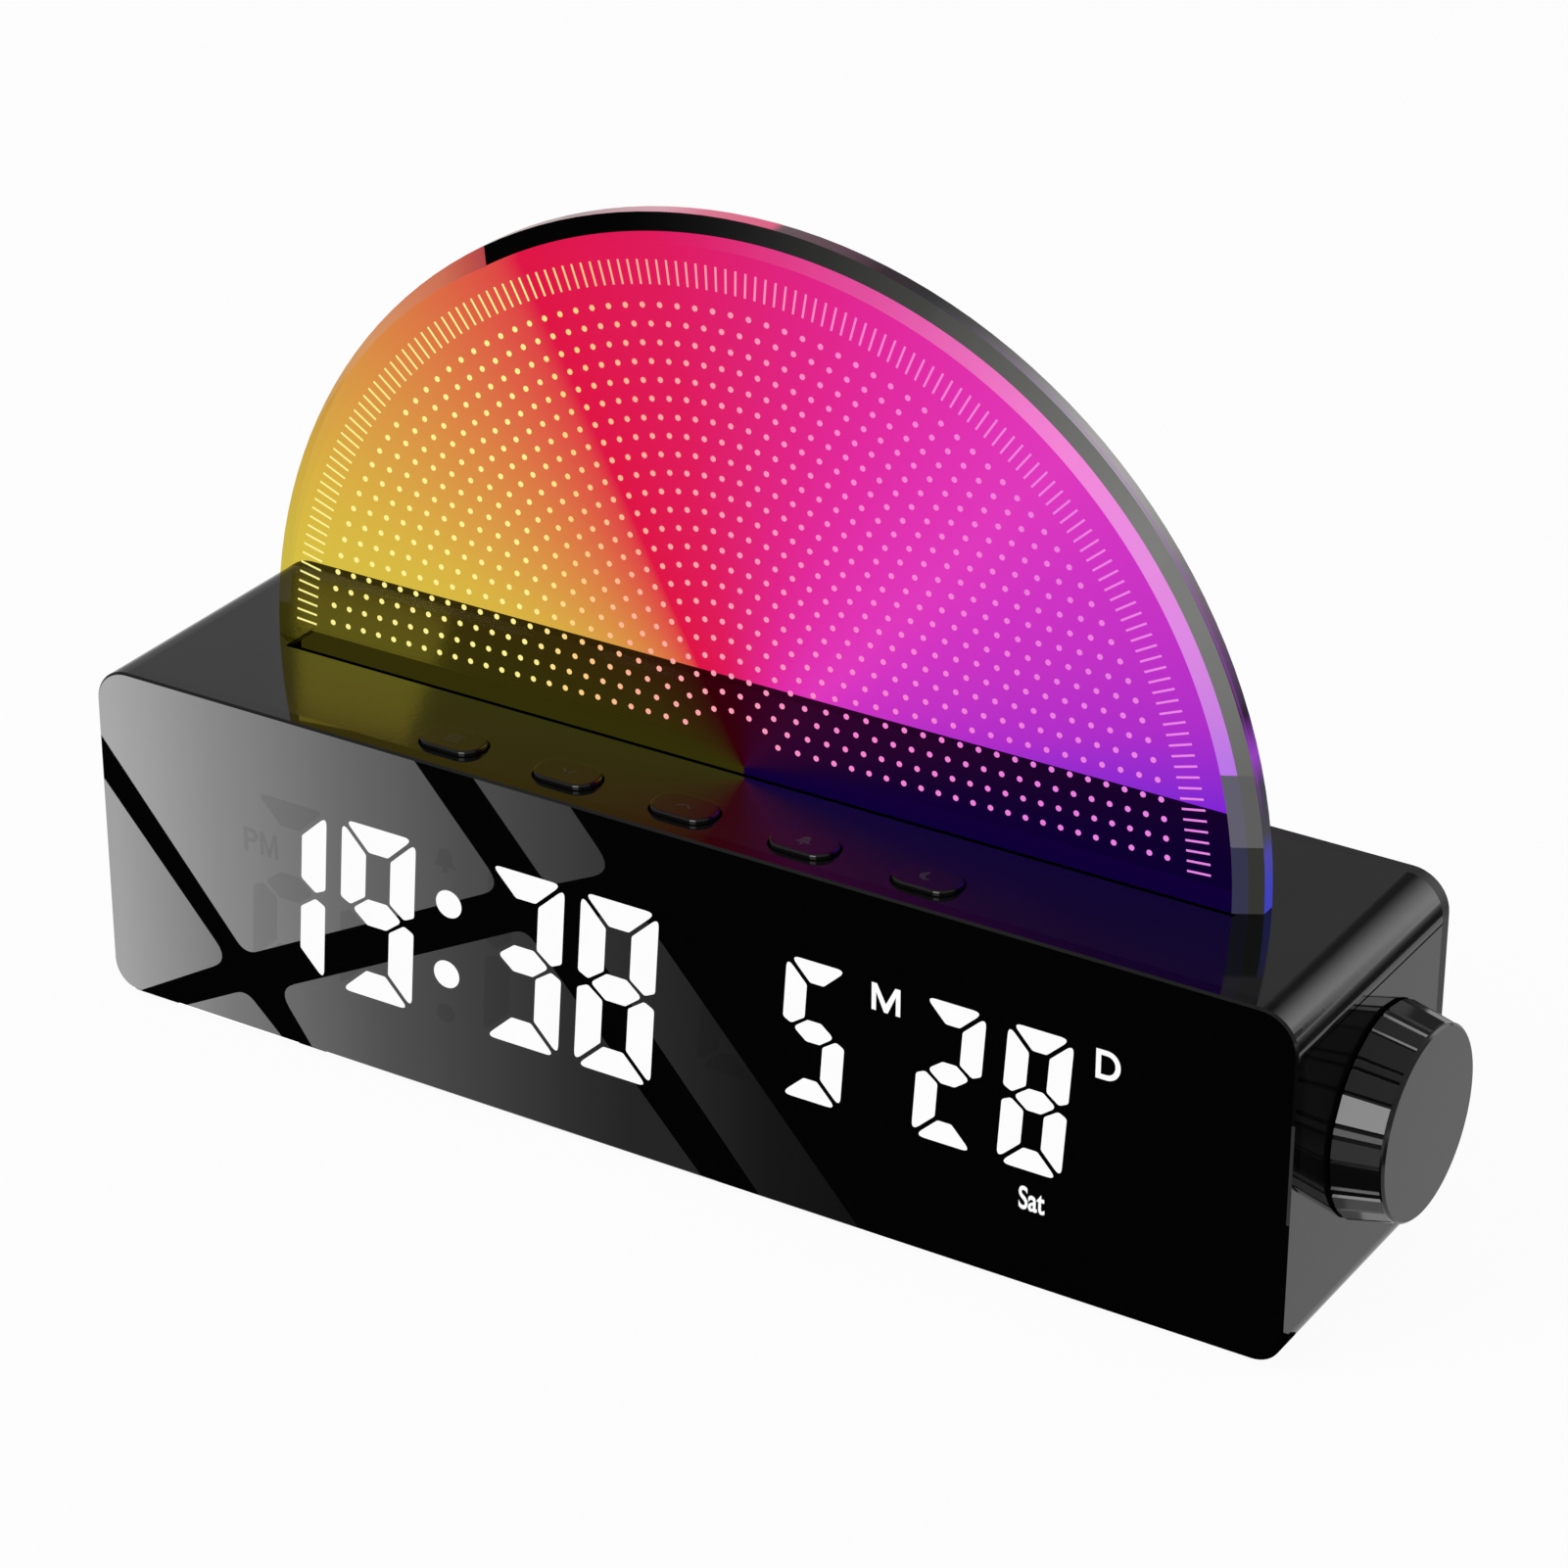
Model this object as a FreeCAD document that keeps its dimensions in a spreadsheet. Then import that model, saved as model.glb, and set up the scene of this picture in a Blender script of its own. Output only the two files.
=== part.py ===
import FreeCAD, Part
import math
import os
import re

import Sketcher

# Sunrise alarm clock: a glossy black box with a mirror-black display front, five
# buttons and a side knob, and a tinted acrylic half disc standing in its top.
# Millimetres. X to the right, the front faces -Y, Z up. The origin is the centre
# of the overall box, on the surface the clock stands on.

Vector = FreeCAD.Vector
doc = FreeCAD.newDocument("sunrise_clock")

SIZES = {
    # Casing
    "body_width": 200.0,
    "body_height": 54.7,
    "body_depth": 47.2,
    "wall": 2.2,
    "top_radius": 5.8,
    "bottom_radius": 4.6,
    "cover_drop": 6.5,
    "seam_gap": 0.3,
    "panel_thickness": 2.5,
    "panel_chamfer": 0.35,
    "rear_thickness": 2.6,
    "rear_chamfer": 0.5,
    "lip_gap": 0.25,
    "lip_thickness": 1.2,
    "lip_drop": 3.0,
    "lip_length": 30.0,
    # Feet
    "foot_radius": 6.0,
    "foot_height": 1.2,
    "foot_recess": 0.5,
    "foot_inset_x": 15.0,
    "foot_inset_y": 9.5,
    # Screws: their pilot holes, bosses and heads
    "screw_radius": 1.0,
    "thread_gap": 0.03,
    "screw_hole_gap": 0.2,
    "boss_wall": 1.7,
    "head_radius": 1.9,
    "head_height": 1.3,
    "cross_length": 2.1,
    "cross_width": 0.5,
    "cross_depth": 0.8,
    "rear_screw_length": 8.0,
    "short_screw_length": 5.0,
    "corner_block": 8.0,
    "corner_block_depth": 9.0,
    # Light plate and what holds it
    "plate_radius": 83.0,
    "plate_thickness": 5.5,
    "front_bevel_width": 3.6,
    "front_bevel_depth": 2.1,
    "back_bevel": 1.0,
    "plate_setback": 21.1,
    "plate_shoulder": 4.0,
    "tongue_drop": 9.0,
    "slot_gap": 0.8,
    "holder_wall": 1.6,
    "holder_gap": 0.2,
    "holder_ear": 7.0,
    "holder_boss_height": 5.0,
    "ear_thickness": 2.0,
    "strip_thickness": 1.0,
    "strip_led_width": 3.5,
    "strip_led_depth": 2.8,
    "strip_led_height": 1.4,
    "strip_led_pitch": 6.5,
    "led_gap": 0.3,
    # Buttons
    "button_width": 10.2,
    "button_depth": 6.6,
    "button_radius": 2.9,
    "button_pitch": 19.8,
    "button_setback": 3.7,
    "button_proud": 0.9,
    "button_edge": 0.35,
    "button_gap": 0.3,
    "button_play": 0.3,
    "button_travel": 0.5,
    "flange_rim": 0.7,
    "flange_thickness": 1.0,
    "stem_width": 3.6,
    "stem_length": 1.5,
    "switch_width": 6.0,
    "switch_height": 3.5,
    "plunger_radius": 1.5,
    "plunger_proud": 0.8,
    "plunger_depth": 1.4,
    "plunger_gap": 0.08,
    "button_board_thickness": 1.2,
    "button_board_overhang": 13.0,
    "board_clearance": 0.3,
    # Display
    "reflector_width": 166.0,
    "reflector_height": 33.3,
    "reflector_depth": 8.0,
    "display_board_thickness": 1.6,
    "display_board_overhang": 1.0,
    "display_shelf_width": 5.0,
    "segment_gap": 0.05,
    "segment_depth": 2.5,
    "segment_led_width": 1.6,
    "segment_led_height": 0.6,
    "digit_slant": 3.75,
    "big_height": 29.0,
    "big_width": 13.2,
    "big_stroke": 4.4,
    "big_pitch": 16.0,
    "hour_left": -73.0,
    "minute_left": -31.0,
    "small_height": 22.7,
    "small_width": 10.2,
    "small_stroke": 3.5,
    "small_pitch": 13.6,
    "month_left": 6.2,
    "day_left": 41.6,
    "digit_margin": 1.3,
    "digit_joint": 0.5,
    "colon_x": -37.2,
    "colon_radius": 2.25,
    "colon_high_drop": 8.9,
    "colon_low_drop": 20.8,
    # Knob and encoder
    "knob_reach": 7.8,
    "knob_clearance": 0.5,
    "knob_base_radius": 15.8,
    "knob_face_radius": 14.3,
    "knob_rim": 0.7,
    "knob_edge": 0.35,
    "knob_setback": 26.7,
    "knob_rise": 27.6,
    "flute_depth": 0.5,
    "flute_width": 0.7,
    "knob_cavity_radius": 8.0,
    "knob_hub_radius": 5.0,
    "knob_skin": 1.5,
    "shaft_radius": 3.0,
    "shaft_flat": 1.0,
    "shaft_fit": 0.05,
    "bushing_radius": 3.5,
    "bushing_hole_gap": 0.15,
    "bushing_reach": 2.9,
    "encoder_width": 12.0,
    "encoder_depth": 6.5,
    "encoder_back": 0.6,
    "encoder_board_width": 15.0,
    "encoder_board_thickness": 1.2,
    "washer_radius": 5.5,
    "washer_thickness": 0.5,
    "nut_flats": 10.0,
    "nut_thickness": 2.0,
    # Speaker and grille
    "speaker_inset": 42.0,
    "speaker_width": 38.0,
    "speaker_flange": 1.2,
    "speaker_screw_inset": 3.2,
    "gasket_thickness": 0.8,
    "gasket_width": 2.0,
    "basket_radius": 16.5,
    "basket_back_radius": 9.5,
    "basket_depth": 8.0,
    "basket_wall": 0.8,
    "magnet_radius": 11.0,
    "magnet_depth": 5.5,
    "coil_gap": 0.8,
    "coil_depth": 3.0,
    "coil_travel": 1.5,
    "cone_radius": 12.6,
    "cone_thickness": 0.4,
    "surround_radius": 1.4,
    "voice_coil_radius": 6.0,
    "grille_slots": 9,
    "grille_pitch": 3.4,
    "grille_slot_width": 1.8,
    "grille_slot_radius": 0.85,
    "grille_height": 26.0,
    # Main board and what it carries
    "main_board_left": -28.0,
    "main_board_width": 96.0,
    "main_board_gap": 2.0,
    "main_board_depth": 27.0,
    "main_board_thickness": 1.6,
    "standoff": 4.0,
    "board_screw_inset": 3.5,
    "usb_x": 34.0,
    "usb_width": 9.0,
    "usb_height": 3.3,
    "usb_length": 7.4,
    "usb_corner": 1.3,
    "usb_shell": 0.3,
    "usb_wall": 0.6,
    "usb_tongue_width": 6.0,
    "usb_tongue_height": 0.6,
    "usb_gap": 0.25,
    "usb_recess": 0.3,
    "cell_x": -11.0,
    "cell_radius": 10.0,
    "cell_height": 3.2,
    "cell_holder_wall": 1.2,
    "cell_gap": 0.1,
    "main_chip_x": 16.0,
    "main_chip_width": 10.0,
    "audio_chip_width": 6.0,
    "chip_height": 1.2,
    "capacitor_radius": 3.15,
    "capacitor_pitch": 8.0,
    "capacitor_gap": 1.0,
    "capacitor_height": 7.7,
    # Flat leads between the boards
    "lead_width": 8.0,
    "lead_thickness": 0.3,
    "lead_overlap": 2.0,
    "display_lead_inset": 36.0,
    "button_lead_inset": 48.0,
    "strip_lead_inset": 7.5,
}

sheet = doc.addObject("Spreadsheet::Sheet", "sizes")
for row, (alias, size) in enumerate(SIZES.items(), start=1):
    sheet.set(f"A{row}", alias)
    sheet.set(f"B{row}", str(size))
    sheet.setAlias(f"B{row}", alias)
doc.recompute()

# Levels and faces that several pieces share, as formulas on the sheet
MIDDLE = "(0 - knob_reach / 2)"
SIDE = "(body_width / 2)"
FLOOR = "foot_height"
TOP = "(foot_height + body_height)"
GROUND = "(foot_height + wall)"
CEILING = "(foot_height + body_height - wall)"
SPLIT = "(foot_height + body_height - cover_drop)"
FRONT = "(0 - body_depth / 2)"
BEHIND_PANEL = "(panel_thickness - body_depth / 2)"
INSIDE_BACK = "(body_depth / 2 - rear_thickness)"
BACK = "(body_depth / 2)"
INSIDE = "(body_width / 2 - wall)"

PLATE_FRONT = "(plate_setback - body_depth / 2)"
PLATE_BACK = "(plate_setback + plate_thickness - body_depth / 2)"
PLATE_MIDDLE = "(plate_setback + plate_thickness / 2 - body_depth / 2)"
TONGUE_HALF = "(plate_radius - plate_shoulder)"
TONGUE_END = "(foot_height + body_height - tongue_drop)"
STRIP_TOP = f"({TONGUE_END} - led_gap - strip_led_height)"
CHANNEL_FLOOR = f"({STRIP_TOP} - strip_thickness)"
HOLDER_BOTTOM = f"({CHANNEL_FLOOR} - holder_wall)"
HOLDER_HALF = f"({TONGUE_HALF} + holder_gap + holder_wall)"
EAR_MIDDLE = f"({HOLDER_HALF} + holder_ear / 2)"

BUTTON_MIDDLE = "(button_setback + button_depth / 2 - body_depth / 2)"
FLANGE_BOTTOM = f"({CEILING} - button_play - flange_thickness)"
PLUNGER_TOP = f"({FLANGE_BOTTOM} - stem_length)"
SWITCH_TOP = f"({PLUNGER_TOP} - plunger_proud)"
BUTTON_BOARD_TOP = f"({SWITCH_TOP} - switch_height)"
BUTTON_BOARD_BOTTOM = f"({BUTTON_BOARD_TOP} - button_board_thickness)"
BUTTON_BOARD_BACK = f"({BUTTON_MIDDLE} + switch_width)"
BUTTON_SCREW_X = "(2 * button_pitch + button_board_overhang - screw_radius - boss_wall)"

REFLECTOR_TOP = f"({BUTTON_BOARD_BOTTOM} - head_height - board_clearance)"
REFLECTOR_BOTTOM = f"({REFLECTOR_TOP} - reflector_height)"
REFLECTOR_BACK = f"({BEHIND_PANEL} + reflector_depth)"
DIGIT_TOP = f"({REFLECTOR_TOP} - digit_margin)"
DISPLAY_BOARD_BACK = f"({REFLECTOR_BACK} + display_board_thickness)"

KNOB_Y = "(knob_setback - body_depth / 2)"
KNOB_Z = "(foot_height + knob_rise)"
KNOB_BASE = "(body_width / 2 + knob_clearance)"
KNOB_FACE = "(body_width / 2 + knob_reach)"
BUSHING_END = "(body_width / 2 + bushing_reach)"
HUB_START = "(body_width / 2 + bushing_reach + knob_clearance)"
CAVITY_END = "(body_width / 2 + knob_reach - knob_skin)"
ENCODER_LEFT = "(body_width / 2 - wall - encoder_depth)"

SPEAKER_X = "(speaker_inset - body_width / 2)"
SPEAKER_Z = "(foot_height + body_height / 2)"
FLANGE_BACK = f"({INSIDE_BACK} - gasket_thickness)"
FLANGE_FRONT = f"({INSIDE_BACK} - gasket_thickness - speaker_flange)"
BASKET_BACK = f"({FLANGE_FRONT} - basket_depth)"

BOARD_BOTTOM = "(foot_height + wall + standoff)"
BOARD_TOP = "(foot_height + wall + standoff + main_board_thickness)"

PILOT_RADIUS = "(screw_radius + thread_gap)"
SCREW_HOLE_RADIUS = "(screw_radius + screw_hole_gap)"
HEAD_HOLE_RADIUS = "(head_radius + screw_hole_gap)"
BOSS_RADIUS = "(screw_radius + boss_wall)"

sub_parts = []


def formula(text):
    """Write each size's alias in full, as an expression needs it."""
    def in_full(word):
        return "sizes." + word.group() if word.group() in SIZES else word.group()

    return re.sub(r"[a-z_]+", in_full, text)


def bind(thing, path, text):
    thing.setExpression(path, formula(str(text)))


def number(text):
    """The value of a formula now, for starting positions and for shapes made by a loop."""
    return float(sheet.evalExpression(formula(str(text))))


def keep(thing, label):
    """Name a finished sub-part, which also names its file."""
    thing.Label = label
    sub_parts.append(thing)
    return thing


# Sketches and features

def new_body(label):
    body = doc.addObject("PartDesign::Body", label)
    bind(body, "Placement.Base.x", MIDDLE)
    return keep(body, label)


def plane_sketch(body, name, role, offset="0"):
    """A sketch on one of the body's origin planes, moved along that plane's normal."""
    sketch = body.newObject("Sketcher::SketchObject", name)
    plane = [feature for feature in body.Origin.OriginFeatures if feature.Role == role][0]
    sketch.AttachmentSupport = [(plane, "")]
    sketch.MapMode = "FlatFace"
    bind(sketch, "AttachmentOffset.Base.z", offset)
    return sketch


def sketch_facing_front(body, name, y):
    """The XZ plane's normal points to the front, so the offset is minus the Y wanted."""
    return plane_sketch(body, name, "XZ_Plane", f"0 - {y}")


def dimension(sketch, kind, geometry, point, text):
    index = sketch.addConstraint(Sketcher.Constraint(kind, -1, 1, geometry, point, number(text)))
    bind(sketch, f"Constraints[{index}]", text)


def outline(sketch, points):
    """A closed run of straight lines whose corners are given as formulas."""
    places = [Vector(number(x), number(y), 0) for x, y in points]
    first = sketch.GeometryCount
    for here, place in enumerate(places):
        sketch.addGeometry(Part.LineSegment(place, places[(here + 1) % len(places)]))
    for here, (x, y) in enumerate(points):
        line = first + here
        following = first + (here + 1) % len(points)
        sketch.addConstraint(Sketcher.Constraint("Coincident", line, 2, following, 1))
        dimension(sketch, "DistanceX", line, 1, x)
        dimension(sketch, "DistanceY", line, 1, y)


def about(middle, half):
    """The two sides of something centred on middle."""
    return f"{middle} - {half}", f"{middle} + {half}"


def rectangle(sketch, left, right, bottom, top):
    outline(sketch, [(left, bottom), (right, bottom), (right, top), (left, top)])


def circle(sketch, x, y, radius):
    centre = Vector(number(x), number(y), 0)
    index = sketch.addGeometry(Part.Circle(centre, Vector(0, 0, 1), number(radius)))
    dimension(sketch, "DistanceX", index, 3, x)
    dimension(sketch, "DistanceY", index, 3, y)
    constraint = sketch.addConstraint(Sketcher.Constraint("Radius", index, number(radius)))
    bind(sketch, f"Constraints[{constraint}]", radius)


def rounded(sketch, left, right, bottom, top, low_radius, high_radius):
    """A rectangle with one radius at its lower corners and one at its upper corners."""
    x0, x1, y0, y1 = [number(side) for side in (left, right, bottom, top)]
    low = number(low_radius)
    high = number(high_radius)
    corners = [
        (x0 + low, y0 + low, low, 180, low_radius),
        (x1 - low, y0 + low, low, 270, low_radius),
        (x1 - high, y1 - high, high, 0, high_radius),
        (x0 + high, y1 - high, high, 90, high_radius),
    ]
    first = sketch.GeometryCount
    for x, y, radius, start, _ in corners:
        whole = Part.Circle(Vector(x, y, 0), Vector(0, 0, 1), radius)
        sketch.addGeometry(Part.ArcOfCircle(whole, math.radians(start), math.radians(start + 90)))
    for here in range(4):
        start = sketch.getPoint(first + here, 2)
        end = sketch.getPoint(first + (here + 1) % 4, 1)
        sketch.addGeometry(Part.LineSegment(start, end))
    for here in range(4):
        arc = first + here
        line = first + 4 + here
        sketch.addConstraint(Sketcher.Constraint("Tangent", arc, 2, line, 1))
        sketch.addConstraint(Sketcher.Constraint("Tangent", line, 2, first + (here + 1) % 4, 1))
        sketch.addConstraint(Sketcher.Constraint("Vertical" if here % 2 else "Horizontal", line))
        constraint = sketch.addConstraint(Sketcher.Constraint("Radius", arc, corners[here][2]))
        bind(sketch, f"Constraints[{constraint}]", corners[here][4])
    dimension(sketch, "DistanceY", first + 4, 1, bottom)
    dimension(sketch, "DistanceX", first + 5, 1, right)
    dimension(sketch, "DistanceY", first + 6, 1, top)
    dimension(sketch, "DistanceX", first + 7, 1, left)


def pad(body, sketch, length, flip=False):
    feature = body.newObject("PartDesign::Pad", sketch.Name + "_pad")
    feature.Profile = sketch
    feature.Reversed = flip
    bind(feature, "Length", length)
    return feature


def pocket(body, sketch, length, flip=False):
    """Cut a sketch's area away, and make sure that something was cut."""
    doc.recompute()
    before = body.Shape.Volume
    feature = body.newObject("PartDesign::Pocket", sketch.Name + "_pocket")
    feature.Profile = sketch
    feature.Reversed = flip
    bind(feature, "Length", length)
    doc.recompute()
    if not body.Shape.Volume < before:
        raise SystemExit(f"{feature.Label} of {body.Label} cuts nothing")
    return feature


def repeat_along_x(body, feature, spacing, count):
    """Repeat a feature with an even spacing, from the left to the right."""
    pattern = body.newObject("PartDesign::LinearPattern", feature.Name + "_row")
    pattern.Originals = [feature]
    axis = [part for part in body.Origin.OriginFeatures if part.Role == "X_Axis"][0]
    pattern.Direction = (axis, [""])
    bind(pattern, "Length", f"({spacing}) * ({count} - 1)")
    bind(pattern, "Occurrences", count)
    body.Tip = pattern
    doc.recompute()
    return pattern


def edges_of(body, wanted):
    """The names of the edges of the body's last feature that pass a test of their own box."""
    doc.recompute()
    edges = enumerate(body.Tip.Shape.Edges, start=1)
    return [f"Edge{place}" for place, edge in edges if wanted(edge.BoundBox)]


def dress_edges(body, kind, path, size, wanted):
    """Put a Chamfer or a Fillet on the edges that pass the test."""
    names = edges_of(body, wanted)
    base = body.Tip
    feature = body.newObject("PartDesign::" + kind, kind.lower())
    feature.Base = (base, names)
    bind(feature, path, size)
    doc.recompute()
    return feature


# Solids placed by formulas

def block(name, low, high):
    """A box between two corners."""
    box = doc.addObject("Part::Box", name)
    for axis, side, start, end in zip("xyz", ("Length", "Width", "Height"), low, high):
        middle = f"{MIDDLE} + " if axis == "x" else ""
        bind(box, f"Placement.Base.{axis}", f"{middle}({start})")
        bind(box, side, f"({end}) - ({start})")
    return box


def rod(name, base, direction, radius, length):
    """A cylinder from a base point, along X, Y or Z."""
    cylinder = doc.addObject("Part::Cylinder", name)
    cylinder.Placement.Rotation = FreeCAD.Rotation(Vector(0, 0, 1), direction)
    for axis, start in zip("xyz", base):
        middle = f"{MIDDLE} + " if axis == "x" else ""
        bind(cylinder, f"Placement.Base.{axis}", f"{middle}({start})")
    bind(cylinder, "Radius", radius)
    bind(cylinder, "Height", length)
    return cylinder


def fuse(name, pieces):
    union = doc.addObject("Part::MultiFuse", name)
    union.Shapes = pieces
    return union


def cut(name, base, tools):
    difference = doc.addObject("Part::Cut", name)
    difference.Base = base
    difference.Tool = tools[0] if len(tools) == 1 else fuse(name + "_tools", tools)
    return difference


def group(name, pieces):
    """Separate solids that share a node."""
    compound = doc.addObject("Part::Compound", name)
    compound.Links = pieces
    return compound


def placed(name, shape):
    """A shape worked out by a loop, with the placement of the other sub-parts."""
    feature = doc.addObject("Part::Feature", name)
    feature.Shape = shape
    bind(feature, "Placement.Base.x", MIDDLE)
    return feature


def screw(length, direction):
    """A pan head screw with a cross recess. The head's seat is at the origin and the tip along direction."""
    head = Part.makeCylinder(number("head_radius"), number("head_height"), Vector(0, 0, 0), Vector(0, 0, -1))
    shank = Part.makeCylinder(number("screw_radius"), number(length))
    whole = head.fuse(shank)
    long_side = number("cross_length")
    short_side = number("cross_width")
    for along, across in ((long_side, short_side), (short_side, long_side)):
        corner = Vector(-along / 2, -across / 2, -number("head_height"))
        whole = whole.cut(Part.makeBox(along, across, number("cross_depth"), corner))
    whole = whole.removeSplitter()
    whole.Placement = FreeCAD.Placement(Vector(0, 0, 0), FreeCAD.Rotation(Vector(0, 0, 1), direction))
    return whole


def screws(name, length, direction, places):
    """A set of equal screws as one group."""
    solids = []
    for place in places:
        one = screw(length, direction)
        one.translate(Vector(*[number(axis) for axis in place]))
        solids.append(one)
    return keep(placed(name, Part.makeCompound(solids)), name)


def both_sides(x):
    return (f"(0 - {x})", x)


# Front panel

front_panel = new_body("front_panel")
panel_outline = sketch_facing_front(front_panel, "panel_outline", FRONT)
rounded(panel_outline, f"0 - {SIDE}", SIDE, FLOOR, TOP, "bottom_radius", "top_radius")
pad(front_panel, panel_outline, "panel_thickness", flip=True)
front_y = number(FRONT)
dress_edges(front_panel, "Chamfer", "Size", "panel_chamfer", lambda box: box.YMax < front_y + 0.01)


# Casing shells

def casing_tube(body):
    """The rounded tube between the front panel and the rear cover, from which both shells are cut."""
    length = f"{INSIDE_BACK} - {BEHIND_PANEL}"
    outer = sketch_facing_front(body, "outer_section", BEHIND_PANEL)
    rounded(outer, f"0 - {SIDE}", SIDE, FLOOR, TOP, "bottom_radius", "top_radius")
    pad(body, outer, length, flip=True)
    inner = sketch_facing_front(body, "inner_section", BEHIND_PANEL)
    rounded(inner, f"0 - {INSIDE}", INSIDE, GROUND, CEILING, "bottom_radius - wall", "top_radius - wall")
    pocket(body, inner, length)


def corner_blocks(body, low, high, screw_z, name):
    """Blocks in the two rear corners, with pilot holes for the rear screws."""
    depth = "corner_block_depth"
    start = f"({INSIDE_BACK} - {depth})"
    sketch = sketch_facing_front(body, name, start)
    for inner, outer in ((f"{INSIDE} - corner_block", INSIDE), (f"0 - {INSIDE}", f"corner_block - {INSIDE}")):
        rectangle(sketch, inner, outer, low, high)
    pad(body, sketch, depth, flip=True)
    pilots = sketch_facing_front(body, name + "_pilots", start)
    for x in both_sides(REAR_SCREW_X):
        circle(pilots, x, screw_z, PILOT_RADIUS)
    pocket(body, pilots, depth)


REAR_SCREW_X = f"({INSIDE} - corner_block / 2)"
LOW_SCREW_Z = f"({GROUND} + corner_block / 2)"
HIGH_SCREW_Z = f"({CEILING} - corner_block / 2)"

top_cover = new_body("top_cover")
casing_tube(top_cover)
below_split = sketch_facing_front(top_cover, "below_split", BEHIND_PANEL)
rectangle(below_split, f"0 - {SIDE} - wall", f"{SIDE} + wall", f"{FLOOR} - wall", SPLIT)
pocket(top_cover, below_split, f"{INSIDE_BACK} - {BEHIND_PANEL}")

plate_slot = plane_sketch(top_cover, "plate_slot", "XY_Plane", TOP)
slot_half = f"({TONGUE_HALF} + slot_gap)"
rectangle(plate_slot, f"0 - {slot_half}", slot_half, f"{PLATE_FRONT} - slot_gap", f"{PLATE_BACK} + slot_gap")
pocket(top_cover, plate_slot, "wall")

button_hole = plane_sketch(top_cover, "button_hole", "XY_Plane", TOP)
hole_half_x = "(button_width / 2 + button_gap)"
hole_half_y = "(button_depth / 2 + button_gap)"
hole_radius = "button_radius + button_gap"
rounded(
    button_hole,
    f"0 - 2 * button_pitch - {hole_half_x}",
    f"{hole_half_x} - 2 * button_pitch",
    f"{BUTTON_MIDDLE} - {hole_half_y}",
    f"{BUTTON_MIDDLE} + {hole_half_y}",
    hole_radius,
    hole_radius,
)
button_holes = pocket(top_cover, button_hole, "wall")
repeat_along_x(top_cover, button_holes, "button_pitch", 5)

# Lips inside the side walls, which keep the cover in line with the tub
lips = sketch_facing_front(top_cover, "lips", "(0 - lip_length / 2)")
lip_outer = f"({INSIDE} - lip_gap)"
lip_inner = f"({INSIDE} - lip_gap - lip_thickness)"
lip_end = f"{SPLIT} - lip_drop"
lip_root = f"{SPLIT} + lip_thickness"
outline(lips, [(lip_inner, lip_end), (lip_outer, lip_end), (lip_outer, SPLIT), (INSIDE, SPLIT),
               (INSIDE, lip_root), (lip_inner, lip_root)])
outline(lips, [(f"0 - {lip_inner}", lip_end), (f"0 - {lip_inner}", lip_root), (f"0 - {INSIDE}", lip_root),
               (f"0 - {INSIDE}", SPLIT), (f"0 - {lip_outer}", SPLIT), (f"0 - {lip_outer}", lip_end)])
pad(top_cover, lips, "lip_length", flip=True)


def hanging_bosses(name, places, height):
    """Round bosses under the cover's ceiling, each with a pilot hole from below."""
    foot = f"({CEILING} - {height})"
    bosses = plane_sketch(top_cover, name, "XY_Plane", foot)
    for x, y in places:
        circle(bosses, x, y, BOSS_RADIUS)
    pad(top_cover, bosses, height)
    pilots = plane_sketch(top_cover, name + "_pilots", "XY_Plane", foot)
    for x, y in places:
        circle(pilots, x, y, PILOT_RADIUS)
    pocket(top_cover, pilots, height, flip=True)


holder_screw_places = [(x, PLATE_MIDDLE) for x in both_sides(EAR_MIDDLE)]
hanging_bosses("holder_bosses", holder_screw_places, "holder_boss_height")
button_screw_places = [(x, BUTTON_MIDDLE) for x in both_sides(BUTTON_SCREW_X)]
hanging_bosses("button_board_bosses", button_screw_places, f"({CEILING} - {BUTTON_BOARD_TOP})")
corner_blocks(top_cover, f"{CEILING} - corner_block", CEILING, HIGH_SCREW_Z, "high_blocks")

# The parts of the high blocks and lips below the split stay clear of the tub's walls
wall_relief = sketch_facing_front(top_cover, "wall_relief", f"({INSIDE_BACK} - corner_block_depth)")
for left, right in ((f"{INSIDE} - lip_gap", f"{SIDE} + wall"), (f"0 - {SIDE} - wall", f"lip_gap - {INSIDE}")):
    rectangle(wall_relief, left, right, f"{CEILING} - corner_block - wall", SPLIT)
pocket(top_cover, wall_relief, "corner_block_depth")

base_tub = new_body("base_tub")
casing_tube(base_tub)
above_split = sketch_facing_front(base_tub, "above_split", BEHIND_PANEL)
rectangle(above_split, f"0 - {SIDE} - wall", f"{SIDE} + wall", f"{SPLIT} - seam_gap", f"{TOP} + wall")
pocket(base_tub, above_split, f"{INSIDE_BACK} - {BEHIND_PANEL}")

bushing_hole = plane_sketch(base_tub, "bushing_hole", "YZ_Plane", SIDE)
circle(bushing_hole, KNOB_Y, KNOB_Z, "bushing_radius + bushing_hole_gap")
pocket(base_tub, bushing_hole, "wall")

foot_seats = plane_sketch(base_tub, "foot_seats", "XY_Plane", FLOOR)
foot_places = [
    (f"(0 - {SIDE} + foot_inset_x)", f"({FRONT} + foot_inset_y)"),
    (f"({SIDE} - foot_inset_x)", f"({FRONT} + foot_inset_y)"),
    (f"({SIDE} - foot_inset_x)", f"({BACK} - foot_inset_y)"),
    (f"(0 - {SIDE} + foot_inset_x)", f"({BACK} - foot_inset_y)"),
]
for x, y in foot_places:
    circle(foot_seats, x, y, "foot_radius")
pocket(base_tub, foot_seats, "foot_recess", flip=True)

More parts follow.
